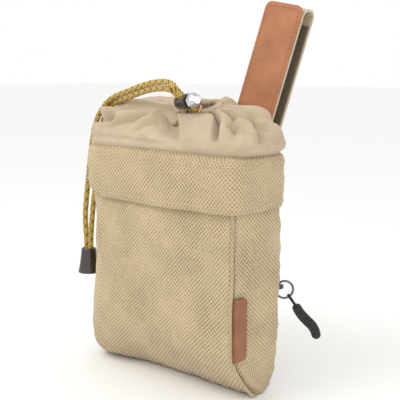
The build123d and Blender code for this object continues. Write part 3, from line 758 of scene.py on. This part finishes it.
def creases(around, places):
    """The depth of the aslant creases at every place of the collar."""
    x, y = np.meshgrid(around, places * CREASE_STEP)
    total = np.zeros_like(x)
    for x0, p0, x1, p1, depth, half in CREASES:
        y0, y1 = CREASE_STEP * p0, CREASE_STEP * p1
        length = math.dist((x0, y0), (x1, y1))
        run = ((x - x0) * (x1 - x0) + (y - y0) * (y1 - y0)) / length
        off = ((y - y0) * (x1 - x0) - (x - x0) * (y1 - y0)) / length * math.copysign(1, x1 - x0)
        bend = 1.5 * np.sin(run / length * math.pi)
        fade = np.clip(run / 8, 0, 1) * np.clip((length - run) / 6, 0, 1)
        # The cloth above the crease hangs over it.
        hollow = np.exp(-((off - bend) / half) ** 2)
        roll = np.exp(-((off - bend - 1.9 * half) / (1.5 * half)) ** 2)
        total += depth * fade * (hollow - 0.55 * roll)
    return total


def spaced(loop, start, fractions):
    """A closed loop's points at fractions of its length from the place nearest to start."""
    first = int(np.argmin(np.linalg.norm(loop - np.asarray(start, float), axis=1)))
    loop = np.roll(loop, -first, axis=0)
    length = distances(loop, closed=True)
    return sampled(np.vstack([loop, loop[:1]]), length, (fractions % 1.0) * length[-1])


def dense_outline(x_low, x_high, y_low, y_high, r_left, r_right):
    """A rounded rectangle as about evenly spaced points, from its front's right end."""
    corners = ((x_high - r_right, y_low + r_right, r_right, -90),
               (x_high - r_right, y_high - r_right, r_right, 0),
               (x_low + r_left, y_high - r_left, r_left, 90), (x_low + r_left, y_low + r_left, r_left, 180))
    loop = []
    for x, y, radius, start in corners:
        for turn in np.radians(start + 90 * np.arange(41) / 40):
            loop.append((x + radius * math.cos(turn), y + radius * math.sin(turn)))
    return divided(loop, 0.4)


def catmull(rings, places):
    """Rings of points joined by a smooth curve through them, at fractional ring numbers."""
    rings = np.asarray(rings, float)
    last = len(rings) - 1
    result = []
    for place in places:
        i = min(int(place), last - 1)
        a, b, c, d = (rings[min(max(i + k, 0), last)] for k in (-1, 0, 1, 2))
        result.append(curved(a, b, c, d, place - i))
    return np.array(result)


def soften(values, reach):
    """A closed run of values, averaged over a few neighbours."""
    kernel = np.hanning(2 * reach + 3)[1:-1]
    kernel /= kernel.sum()
    wrapped = np.concatenate([values[-reach:], values, values[:reach]])
    return np.convolve(wrapped, kernel, mode="valid")


def fold_heights(around):
    """The folds' height at each distance round the collar."""
    places, heights = np.array(sorted(FOLDS)).T
    places = np.concatenate([places - COLLAR_GIRTH, places, places + COLLAR_GIRTH])
    return soften(np.interp(around, places, np.tile(heights, 3)), 2)


def mouth_ring(grow, fractions):
    """A ring round the mouth, so far outside the casing's middle line."""
    half_x, half_y, corner = CASING_HALF_X + grow, CASING_HALF_Y + grow, CASING_CORNER + grow
    loop = dense_outline(-half_x, half_x, -half_y, half_y, corner, corner)
    flat = spaced(loop, (EYELET_CENTER[0] - MOUTH_CENTER[0], -half_y), fractions)
    return MOUTH_CENTER + flat[:, :1] * MOUTH_SIDE + flat[:, 1:] * MOUTH_BACK


def collar_rings(fractions, gathered):
    """The collar's plain rings, from inside the cuff up to the casing."""
    rings = []
    for ring, share in zip(COLLAR_RINGS, FLAP_SHARES):
        height, x_low, x_high, y_low, y_high, r_left, r_right, flap_x = ring
        loop = dense_outline(x_low, x_high, y_low, y_high, r_left, r_right)
        rings.append(raised(spaced(loop, (flap_x, y_low), fractions * (1 - share) + gathered * share),
                            height))
    return rings + [mouth_ring(1.5, gathered)]


def collar_relief(plain, around, places, flap, pleats):
    """How far the collar's cloth stands out: folds, pleats, creases and a slack band over the cuff."""
    rise = np.interp(places, (0, 2.2, 2.9, 3.6, 4.4, 5.2, 5.7, 6.0), (0, 0.0, 0.2, 0.75, 1.05, 1.0, 0.6, 0.2))
    pleat_rise = np.interp(places, (0, 3.8, 5.2, 6.0), (0, 0, 0.35, 0.5))
    relief = rise[:, None] * fold_heights(around) + pleat_rise[:, None] * pleats
    relief -= creases(around, places) * (1 - 0.9 * flap * np.clip(places - 2.6, 0, 1)[:, None])
    at_flap = 0.6 * flap * np.clip(places - 3, 0, 1)[:, None]
    calm = np.clip((places - 1.2) / 1.2, 0, 1)[:, None] * (1 - at_flap)
    relief += calm * (0.7 * drift(plain, 17, 8) + 0.35 * drift(plain, 6, 9))
    band = np.exp(-((places - 2.6) / 0.7) ** 2)[:, None]
    return relief + band * 0.35 * np.sin(around * 2 * math.pi / 11 + 3 * drift(plain, 30, 10))


def casing_rows(gathered, pleats, edge):
    """The casing's roll along the collar's edge, and the cloth that hangs from it inside the mouth."""
    ring = mouth_ring(0, gathered)
    away = ring - MOUTH_CENTER
    away = unit(away - np.outer(away @ MOUTH_UP, MOUTH_UP))
    swell = CASING_RADIUS + 0.28 * pleats + 0.12 * drift(edge, 3, 11)
    rows = []
    for turn in np.radians(np.linspace(-38, 215, 15)):
        out, up = swell * math.cos(turn), swell * math.sin(turn)
        rows.append(ring + away * out[:, None] + np.outer(up, MOUTH_UP))
    inner = mouth_ring(-2.3, gathered)
    for drop in (2.5, 4.5, 7.0, 10.0, 14.0):
        flare = 1 + 0.012 * drop ** 2
        rows.append(MOUTH_CENTER + (inner - MOUTH_CENTER) * flare - MOUTH_UP * drop)
    return rows


def stitch_flap(rows, normals, around, places):
    """Stitches along the flap's top and both its sides."""
    low, near = (int(np.argmin(np.abs(places - place))) for place in (4.1, 5.55))
    runs = [("flap_stitching", (near, np.abs(around) < FLAP_HALF - 0.8))]
    for name, side in (("flap_edge_left", -1), ("flap_edge_right", 1)):
        column = int(np.argmin(np.abs(around - side * (FLAP_HALF - 1.4))))
        runs.append((name, (slice(low, near), column)))
    for name, run in runs:
        stitches(name, rows[run] + normals[run] * 0.12, normals[run], "pale_thread", pitch=2.0, length=1.5,
                 radius=0.17)


def make_collar():
    fractions = (np.arange(AROUND) + 0.5) / AROUND - 0.5
    around = fractions * COLLAR_GIRTH
    half = FLAP_HALF / COLLAR_GIRTH
    gathered = np.interp(fractions, (-0.5, -half, half, 0.5), (-0.5, -FLAP_AT_MOUTH, FLAP_AT_MOUTH, 0.5))
    places = np.concatenate([np.linspace(0, 2, 12)[:-1], np.linspace(2, 6, 64)])
    plain = catmull(collar_rings(fractions, gathered), places)
    normals = np.cross(np.roll(plain, -1, axis=1) - np.roll(plain, 1, axis=1), np.gradient(plain, axis=0))
    normals /= np.maximum(np.linalg.norm(normals, axis=2)[..., None], 1e-9)
    flap = np.clip((FLAP_HALF + 1 - np.abs(around)) / 2, 0, 1)
    pleats = soften(np.sin(gathered * 2 * math.pi * PLEATS + 1.5 * np.sin(gathered * 40)), 1) * (1 - flap)
    rows = plain + normals * collar_relief(plain, around, places, flap, pleats)[..., None]
    crest = soften(np.interp(around, *np.array(CRESTS).T), 12)
    rows[..., 2] += np.interp(places, (0, 2.6, 3.8, 5.2, 6.0), (0, 0, 0.7, 1, 0.1))[:, None] * crest
    rows[..., 1] = np.minimum(rows[..., 1], COLLAR_BACK)
    rows = np.concatenate([rows, casing_rows(gathered, pleats, rows[-1])])
    climb = np.concatenate([[0], np.cumsum(np.linalg.norm(np.diff(rows, axis=0), axis=2).mean(axis=1))])
    mesh = grid_mesh("collar", rows, uv_grid(np.append(around, COLLAR_GIRTH / 2), climb), closed_across=True)
    collar = new_object("collar", mesh, "collar_cloth")
    thicken(collar, 0.5)
    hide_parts("gathered_collar", "drawcord_casing")
    stitch_flap(rows, normals, around, places)


# --- seams of the body ---
def ridge(name, path, lean, height, width, seed, material="canvas"):
    """A raised seam edge: cloth folded along a path and standing out along lean."""
    lean = unit(np.asarray(lean, float))
    side = unit(np.cross(unit(np.gradient(path, axis=0)), lean))
    turns = np.linspace(0, math.pi, 9)
    sway = 0.35 * drift(path, 7, seed)
    rise = height * (1 + 0.25 * drift(path, 5, seed + 1))
    rows = []
    for turn in turns:
        reach = (0.25 + 0.75 * math.sin(turn)) * rise - 0.6
        across = width / 2 * math.cos(turn) + sway * math.sin(turn)
        rows.append(path + lean * reach[:, None] + side * across[:, None])
    rows = np.array(rows).transpose(1, 0, 2)
    uv = uv_grid(np.linspace(0, 2 * height + width, len(turns) + 1), distances(path))
    mesh = grid_mesh(name, rows, uv, closed_across=True)
    close_mesh(mesh)
    return new_object(name, mesh, material)


def make_seams():
    heights = np.linspace(CUFF_LOW + 1.5, 0.6, 150)
    for name, profile, lean, out, seed in (("front_corner_seam", FRONT_PROFILE, (0.45, -0.9, 0), 2.2, 21),
                                           ("back_corner_seam", BACK_PROFILE, (0.62, 0.78, 0), 1.1, 25)):
        depth = along(profile, heights)
        path = np.column_stack([np.full(len(heights), HALF_WIDTH - 0.7), depth - 0.5 * np.sign(lean[1]),
                                heights])
        path[:, 0] += 0.35 * drift(path, 16, seed + 2)
        ridge(name, path, lean, out, 1.7, seed)
        # Painted shadow: a thin dark strip beside each corner seam's ridge stands for the shade in the seam's
        # groove.
        shade_strip = path + (0.75, 1.0 * np.sign(-lean[1]), 0)
        ridge(name + "_painted_shade", shade_strip, (1, 0, 0), 0.3, 0.5, seed + 3, "painted_seam_shadow")
    bottom = level_path(-HALF_WIDTH + 4.9, HALF_WIDTH + 0.3, 2.2, 0.9, 120)
    bottom[:, 1] += 0.4 * drift(bottom, 20, 30)
    ridge("bottom_seam", bottom, (0, -0.5, -1), 1.0, 2.6, 31)
    for name, height in (("zip_welt_top", ZIP_Z + 9.4), ("zip_welt_bottom", ZIP_Z - 9.4)):
        path = level_path(ZIP_LEFT - 1, HALF_WIDTH - 1.5, HALF_DEPTH + 0.25, height, 110)
        path[:, 2] += 0.25 * drift(path, 14, 33)
        ridge(name, path, (0, 1, 0), 1.0, 3.0, 34)


# --- lining ---
def make_lining():
    heights = np.concatenate([np.linspace(4.5, 30, 14)[:-1], np.linspace(30, 124, 34)])
    rows, normals = body_rows(2.6, heights)
    rows = rows + normals * (0.45 * drift(rows, 14, 40) + 0.25 * drift(rows, 6, 41))[..., None]
    mesh = grid_mesh("lining", rows, uv_grid(row_lengths(rows, True), heights), closed_across=True)
    lining = new_object("lining", mesh, "lining")
    thicken(lining, 0.3)
    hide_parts("inner_lining")


# --- cords ---
CORD_RADIUS, STRAND_OFFSET = 1.6, 1.68
CORD_DIRECTION = unit(np.array([-0.314, -0.633, 0.706]))
LOCK_LEAN = np.array([0.9, -0.37, 0.1])
LOCK_AXIS = unit(LOCK_LEAN - CORD_DIRECTION * CORD_DIRECTION.dot(LOCK_LEAN))
ROOT = EYELET_CENTER - 1.2 * CORD_DIRECTION
ABOVE_LOCK = EYELET_CENTER + 14.4 * CORD_DIRECTION
SIDE_STEP = STRAND_OFFSET * LOCK_AXIS
BEND_STEP = SIDE_STEP + 0.9 * CORD_DIRECTION
STRANDS = {
    "drawcord_strand_a": (
        ROOT + SIDE_STEP, ABOVE_LOCK + BEND_STEP, (6.6, -10.8, 162.4), (-6.2, -9.0, 162.0),
        (-18.5, -7.4, 159.7), (-31.0, -6.2, 156.3), (-44.0, -5.0, 153.0), (-51.5, -4.6, 148.2),
        (-58.9, -4.4, 140.0), (-63.4, -4.3, 126.0), (-65.8, -4.6, 109.0), (-67.4, -5.5, 94.0),
        (-67.6, -7.0, 80.0), (-65.36, -7.5, 67.5), (-65.34, -7.5, 55.0)),
    "drawcord_strand_b": (
        ROOT - SIDE_STEP, ABOVE_LOCK - BEND_STEP, (4.9, -10.6, 158.9), (-7.0, -8.8, 158.6),
        (-18.8, -7.2, 156.3), (-31.5, -5.4, 152.8), (-44.0, -3.2, 150.1), (-51.5, -1.0, 146.5),
        (-58.4, -0.4, 138.2), (-61.2, 0.2, 125.0), (-61.6, -1.4, 109.0), (-61.6, -4.8, 94.0),
        (-61.2, -7.0, 80.0), (-62.04, -7.5, 67.5), (-62.06, -7.5, 55.0)),
}
# The lengths of an earlier route. These routes' tubes are 0.1807 and 0.1732 long.
BELL_CENTER = np.array([-63.7, -7.5])


def spline_points(name, points):
    """The points of a smooth NURBS curve through the route, in the frame's metres."""
    data = bpy.data.curves.new(name, "CURVE")
    data.dimensions, data.resolution_u = "3D", 24
    spline = data.splines.new("NURBS")
    spline.points.add(len(points) - 1)
    for point, place in zip(spline.points, at(points)):
        point.co = (*place, 1)
    spline.order_u = 3
    spline.use_endpoint_u = True
    route = bpy.data.objects.new(name, data)
    bpy.context.collection.objects.link(route)
    mesh = bpy.data.meshes.new_from_object(route)
    result = np.array([vertex.co for vertex in mesh.vertices])
    bpy.data.objects.remove(route)
    bpy.data.meshes.remove(mesh)
    return result


def even(points, step):
    """A path's points again, about evenly a step apart."""
    steps = distances(points)
    return sampled(points, steps, np.linspace(0, steps[-1], max(4, int(steps[-1] / step))))


def braided(name, points, radius, material, body="pouch", lay=1.35, relief=0.1, sides=40, closed=False):
    """A braided tube along a path: its skin rises and falls where the yarns cross. Millimetres."""
    yarns = 8
    side, up = frames(points)
    length = distances(points, closed)
    turn = np.arange(sides) / sides
    rows = []
    for k, point in enumerate(points):
        forward, backward = turn * yarns + length[k] / lay, turn * yarns - length[k] / lay
        bumps = np.abs(np.sin(math.pi * forward) * np.sin(math.pi * backward)) - 0.6
        reach = radius + relief * bumps
        rows.append(point + np.outer(reach * np.cos(2 * math.pi * turn), side[k])
                    + np.outer(reach * np.sin(2 * math.pi * turn), up[k]))
    uv = uv_grid(np.append(turn, 1.0), length)[..., ::-1]
    mesh = grid_mesh(name, rows, uv, closed_across=True, closed_along=closed)
    if not closed:
        close_mesh(mesh)
    return new_object(name, mesh, material, body)


def make_cords():
    # The bell's radius and height, down its outside and up its inside.
    bell_profile = [(3.3, 62.4), (3.9, 62.6), (4.35, 62.4), (4.5, 61.8), (4.75, 59.0), (5.4, 54.0),
                    (6.1, 50.0), (6.55, 48.3),
                  (6.45, 47.9), (5.9, 47.9), (5.3, 49.5), (4.6, 53.5), (3.6, 59.5), (3.25, 61.8)]
    bell = lathe("end_bell", bell_profile, (*BELL_CENTER, 0), (0, 0, 1), "gunmetal", steps=64)
    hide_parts("cord_end_bell")
    turns = np.linspace(0, 2 * math.pi, 220, endpoint=False)
    loop = np.column_stack([np.sin(turns) + 2 * np.sin(2 * turns), np.cos(turns) - 2 * np.cos(2 * turns),
                            -1.1 * np.sin(3 * turns)])
    knot_path = loop * (0.72, 0.72, 1.0) + (*BELL_CENTER, 52.4)
    knot = braided("end_knot", knot_path, 1.15, "cord", closed=True)
    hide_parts("cord_end_knot")
    for name, points in STRANDS.items():
        line = spline_points(name, points)
        path = even((line - ORIGIN) * 1000.0, 0.3)
        strand = braided(name.replace("drawcord", "cord"), path, CORD_RADIUS, "cord")
        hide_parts(name)


def make_eyelet():
    normal = np.array([0, CORD_DIRECTION[1], CORD_DIRECTION[2]])
    profile = [(3.55, -0.5), (3.5, 0.1), (3.7, 0.42), (4.1, 0.52), (4.5, 0.36), (4.7, 0.1), (4.72, -0.25)]
    ring = lathe("eyelet", profile, EYELET_CENTER + 0.1 * unit(normal), normal, "copper", steps=56)
    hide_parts("cord_eyelet")


# --- belt strap ---
LEAN = math.radians(11.0)
STRAP_ORIGIN = np.array([29.4, 0, CUFF_TOP])
STRAP_UP = np.array([math.sin(LEAN), 0, math.cos(LEAN)])
STRAP_ACROSS = np.array([math.cos(LEAN), 0, -math.sin(LEAN)])
STRAP_SLOPE, STRAP_WIDTH, STRAP_THICK, HOOK_THICK = 0.19, 25.0, 1.4, 1.0
FRONT_BASE = 23.7
REAR_BASE = FRONT_BASE + (STRAP_THICK + HOOK_THICK + 7.0) * 1.02
TAIL_DEPTH = 22.0
# Heights along the strap: where the fold's own piece starts, and its top.
FOLD_START, FOLD_TOP = 60.0, 77.2
LEG_OUT = unit(np.array([0, -1, 0]) + STRAP_UP * STRAP_SLOPE)
LEG_UP = np.cross(LEG_OUT, STRAP_ACROSS)


def strap_place(points):
    """Points of (depth, height along the strap) in the bag's frame."""
    points = np.asarray(points, float)
    return STRAP_ORIGIN + np.outer(points[:, 0], (0, 1, 0)) + np.outer(points[:, 1], STRAP_UP)


def front_leg(height):
    return (FRONT_BASE + STRAP_SLOPE * height, height)


def rear_leg(height):
    return (REAR_BASE + STRAP_SLOPE * height, height)


def tail_path(start, shift=0.0):
    """The rear leg from a height on it down to its lower end, shifted towards the front."""
    bends = [rear_leg(start), rear_leg(12), (TAIL_DEPTH + 3.6, -31), (TAIL_DEPTH, -38), (TAIL_DEPTH, -60)]
    return rounded_path([(depth - shift, height) for depth, height in bends], [40, 9, 9])


def web(name, flat_path, width, thick, material, body):
    """Webbing along a flat path, with its cross ribs and slightly scalloped edges."""
    points = even(strap_place(flat_path), 0.42)
    normals = np.cross(unit(np.gradient(points, axis=0)), STRAP_ACROSS)
    section = divided(flat_section(width, thick, 7), 1.2)
    length = distances(points)
    ribs = 0.07 * np.sin(length * 2 * math.pi / 1.9)
    rows = []
    face = np.clip((width / 2 - np.abs(section[:, 0])) / 1.2, 0, 1)
    for k, point in enumerate(points):
        lift = np.sign(section[:, 1]) * face * ribs[k]
        rows.append(point + np.outer(section[:, 0] * (1 + 0.002 * math.sin(length[k] * 3.3)), STRAP_ACROSS)
                    + np.outer(section[:, 1] + lift, normals[k]))
    mesh = grid_mesh(name, rows, uv_grid(distances(section, closed=True), length), closed_across=True)
    close_mesh(mesh)
    return new_object(name, mesh, material, body)


def plate(name, outline_points, origin, side, up, thick, material, edge):
    """A flat piece with rounded edges. Its outline runs anticlockwise in the side and up directions."""
    loop = np.asarray(outline_points, float)
    middle = (loop.min(axis=0) + loop.max(axis=0)) / 2
    half = (loop.max(axis=0) - loop.min(axis=0)) / 2
    out = np.cross(side, up)
    levels = [(edge, 0.0), (0.3 * edge, 0.1 * thick), (0.0, 0.35 * thick), (0.0, 0.7 * thick),
              (0.3 * edge, 0.93 * thick),
              (edge, thick), (4 * edge, thick), (0.5 * half.min(), thick)]
    rows, uv = [], []
    for inset, height in levels:
        flat = middle + (loop - middle) * (1 - inset / half)
        rows.append(origin + np.outer(flat[:, 0], side) + np.outer(flat[:, 1], up) + out * height)
        uv.append(np.vstack([flat, flat[:1]]))
    mesh = grid_mesh(name, rows, uv, closed_across=True)
    close_mesh(mesh)
    return new_object(name, mesh, material)


def rounded_corners(x_low, x_high, y_low, y_high, radii):
    """A rectangle's outline with its own radius at the low-low, high-low, high-high and low-high corners."""
    corners = ((x_low, y_low, 180, 1, 1), (x_high, y_low, 270, -1, 1), (x_high, y_high, 0, -1, -1),
               (x_low, y_high, 90, 1, -1))
    loop = []
    for (x, y, start, sx, sy), radius in zip(corners, radii):
        for turn in np.radians(start + np.linspace(0, 90, 9)):
            loop.append((x + radius * (sx + math.cos(turn)), y + radius * (sy + math.sin(turn))))
    return divided(loop, 0.6)


def make_strap():
    front = rounded_path([(FRONT_BASE, -24), front_leg(0), front_leg(FOLD_START)], [12])
    bends = [front_leg(FOLD_START), front_leg(FOLD_TOP), rear_leg(FOLD_TOP), rear_leg(FOLD_START)]
    for name, path, body, node in (
            ("strap_front_leg", front, "pouch", "belt_strap_front"),
            ("strap_fold", rounded_path(bends, [4.6, 3.6]), None, "belt_strap_front"),
            ("strap_rear_leg", tail_path(FOLD_START), "strap_tail", "belt_strap_rear")):
        piece = web(name, path, STRAP_WIDTH, STRAP_THICK, "webbing", body)
        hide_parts(node)
        if body is None:
            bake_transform(piece)
    shift = (STRAP_THICK + HOOK_THICK) / 2 - 0.05
    hook_width = STRAP_WIDTH - 1.2
    hook = web("strap_hook_tape", tail_path(69, shift), hook_width, HOOK_THICK, "olive_webbing", "strap_tail")
    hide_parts("hook_tape")


def make_leather():
    base = strap_place([front_leg(0)])[0] + LEG_OUT * STRAP_THICK / 2
    loop = rounded_corners(-12, 12, 3.4, 80.2, (0.8, 0.8, 4, 4))
    facing = plate("strap_leather", loop, base, STRAP_ACROSS, LEG_UP, 1.2, "leather", edge=0.28)
    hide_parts("strap_leather_facing")
    border = rounded_corners(-10.5, 10.5, 5.0, 78.0, (0.8, 0.8, 3, 3))
    border = np.vstack([border, border[:1]])
    line = base + np.outer(border[:, 0], STRAP_ACROSS) + np.outer(border[:, 1], LEG_UP) + LEG_OUT * 1.2
    stitches("strap_leather_stitching", line, LEG_OUT, "tan_thread", pitch=2.7, length=2.0, radius=0.24)


def make_strap_base():
    """The box stitch that holds the front leg, and the tape's patch below it."""
    face = strap_place([(FRONT_BASE + STRAP_THICK / 2, -12.5)])[0]
    x, y = 8.4, 7.6
    box = [(-x, -y), (x, -y), (x, y), (-x, y), (-x, -y), (x, y)]
    for name, run in (("base_box_stitching", box), ("base_cross_stitching", [(-x, y), (x, -y)])):
        corners = np.array([face + across * STRAP_ACROSS + up * STRAP_UP for across, up in run])
        path = even(corners, 0.5) + (0, 0.1, 0)
        piece = stitches(name, path, (0, 1, 0), "pale_thread", pitch=2.4, length=1.9, radius=0.26)
        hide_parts("strap_base_stitching")
    loop = rounded_corners(-11.5, 11.5, -61, -37, (1, 1, 1, 1))[::-1] * (-1, 1)
    patch_base = STRAP_ORIGIN + (0, HALF_DEPTH + 0.1, 0)
    patch = plate("loop_patch", loop, patch_base, -STRAP_ACROSS, STRAP_UP, 0.9, "olive_webbing", edge=0.25)
    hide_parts("loop_tape")


# --- leather tag ---
def make_tag():
    origin = np.array([HALF_WIDTH - 0.1, 0, 0])
    side, up = np.array([0, 1.0, 0]), np.array([0, 0, 1.0])
    loop = rounded_corners(-18.2, -8.4, 23.8, 56.4, (0.4, 2.6, 2.6, 0.4))
    for name, out, thick in (("seam_tag_under", 0, 0.8), ("seam_tag_leather", 0.82, 0.85)):
        layer = plate(name, loop, origin + (out, 0, 0), side, up, thick, "tag_leather", edge=0.25)
        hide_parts("seam_tag")


# --- zip ---
ZIP_Z, ZIP_LEFT, ZIP_RIGHT, COIL_LEFT, COIL_RIGHT = 54.0, -41.0, 56.6, -38.4, 46.1
OUTWARD = np.array([1.0, 1.0, 0]) / math.sqrt(2)
ACROSS = np.array([1.0, -1.0, 0]) / math.sqrt(2)
UP = np.array([0, 0, 1.0])
RING_RADIUS = 4.7
RING_ROOT = np.array([52.2, 24.6, ZIP_Z])


def below(angle):
    """The outward direction, turned down by an angle in degrees."""
    return OUTWARD * math.cos(math.radians(angle)) - UP * math.sin(math.radians(angle))


PULL_DIRECTION = below(55)
PULL_ROOT = RING_ROOT + below(20) * RING_RADIUS + PULL_DIRECTION * RING_RADIUS
# How far the pull's grip starts from its root.
GRIP_START = 6.6


def make_zip():
    for name, low, node, stitched in (("zip_tape_top", ZIP_Z + 1.2, "zip_tape_upper", 6.6),
                                      ("zip_tape_bottom", ZIP_Z - 9.0, "zip_tape_lower", 1.2)):
        path = level_path(ZIP_LEFT, ZIP_RIGHT, HALF_DEPTH + 0.42, low + 3.9, 90)
        path[:, 1] += 0.08 * drift(path, 8, 50)
        tape = swept(name, path, flat_section(7.8, 0.75, 5)[:, ::-1], "zip_cloth")
        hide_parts(node)
        run = level_path(ZIP_LEFT + 1, ZIP_RIGHT - 1, HALF_DEPTH + 0.85, low + stitched, 120)
        stitches(name + "_stitching", run, (0, 1, 0), pitch=2.6, length=1.9, radius=0.22)
    pitch, steps = 1.25, 14
    count = int((COIL_RIGHT - COIL_LEFT) / pitch)
    turns = np.arange(count * steps) * 2 * math.pi / steps
    for name, side, phase, node in (("zip_teeth_top", 1, 0, "zip_coil_upper"),
                                    ("zip_teeth_bottom", -1, math.pi, "zip_coil_lower")):
        path = np.column_stack([COIL_LEFT + 0.6 + turns * pitch / (2 * math.pi),
                                19.85 + 0.68 * np.sin(turns + phase),
                                ZIP_Z + side * 0.72 + 0.82 * np.cos(turns + phase)])
        teeth = swept(name, path, circle(0.27, 6), "coil", up=(1, 0, 0))
        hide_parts(node)


def make_pull_braid():
    # The braid's loop, from one leg round the ring to the other: distance from the root, and side.
    legs = [(6.6, 0.8), (5.0, 0.8), (3.2, 0.85), (1.8, 1.15), (0.6, 1.35), (-0.6, 1.1), (-1.15, 0.0),
            (-0.6, -1.1),
            (0.6, -1.35), (1.8, -1.15), (3.2, -0.85), (5.0, -0.8), (6.6, -0.8)]
    middle = 0.35
    control = np.array([PULL_ROOT + PULL_DIRECTION * (out + middle) + ACROSS * side for out, side in legs])
    path = even(catmull(control, np.linspace(0, len(control) - 1, 120)), 0.25)
    link = braided("pull_braid", path, 0.78, "black_braid", "zip_pull", lay=0.8, relief=0.05, sides=32)
    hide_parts("zip_pull_cord")


def rounded_square(values):
    """Cosines or sines whose circle becomes a square with round corners."""
    squareness = 3.2
    return np.sign(values) * np.abs(values) ** (2 / squareness)


def make_pull_grip():
    start = PULL_ROOT + PULL_DIRECTION * GRIP_START
    # The grip's bends: outward and up from its start.
    bends = [(-0.3, 0.9), (0.1, 0.0), (1.5, -2.6), (3.4, -5.2), (6.2, -8.2), (8.9, -10.9), (10.6, -13.6),
             (11.5, -16.2),
             (12.0, -18.4)]
    control = np.array([start + OUTWARD * out + UP * up for out, up in bends])
    path = even(catmull(control, np.linspace(0, len(control) - 1, 160)), 0.16)
    wide = np.cross(unit(np.gradient(path, axis=0)), ACROSS)
    length = distances(path)
    total = length[-1]
    sides = 40
    turns = np.arange(sides) * 2 * math.pi / sides
    rim, face = rounded_square(np.cos(turns)), rounded_square(np.sin(turns))
    panel_across = np.clip((0.66 - np.abs(rim)) / 0.10, 0, 1)
    rows = []
    for k, point in enumerate(path):
        s = length[k]
        cap = math.sqrt(max(0.03, 1 - max(0.0, (2.0 - s) / 2.0, (s - total + 2.2) / 2.2) ** 2.2))
        half_wide = (2.4 + 0.35 * math.sin(math.pi * s / total)) * cap
        half_thick = 1.85 * (0.55 + 0.45 * cap)
        panel = panel_across * np.clip((s - 2.6) / 0.4, 0, 1) * np.clip((total - 2.6 - s) / 0.4, 0, 1)
        ribs = 0.5 + 0.5 * math.cos(2 * math.pi * s / 1.3)
        sunk = panel * (0.42 - 0.34 * ribs)
        lift = np.sign(face) * (np.abs(face) * half_thick - sunk)
        rows.append(point + np.outer(rim * half_wide, wide[k]) + np.outer(lift, ACROSS))
    uv = uv_grid(np.linspace(0, 14, sides + 1), length)[..., ::-1]
    mesh = grid_mesh("pull_grip", rows, uv, closed_across=True)
    close_mesh(mesh)
    grip = new_object("pull_grip", mesh, "rubber", "zip_pull")
    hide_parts("zip_pull_grip")


NODE_MATERIALS = {
    "drawcord_loop": "cord", "cord_lock_barrel": "gunmetal", "cord_lock_button": "polished",
    "cord_lock_spring": "steel",
    "pocket_bag": "lining", "zip_stop_left": "steel", "zip_stop_right": "steel", "zip_slider": "dark_steel",
    "zip_ring": "dark_steel",
}


def dress_nodes():
    for name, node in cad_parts.items():
        node.data.materials.clear()
        node.data.materials.append(MATERIALS[NODE_MATERIALS.get(name, "canvas")])


make_cords()
make_eyelet()
make_body()
make_seams()
make_cuff()
make_collar()
make_lining()
make_strap()
make_leather()
make_strap_base()
make_tag()
make_zip()
make_pull_braid()
make_pull_grip()
dress_nodes()
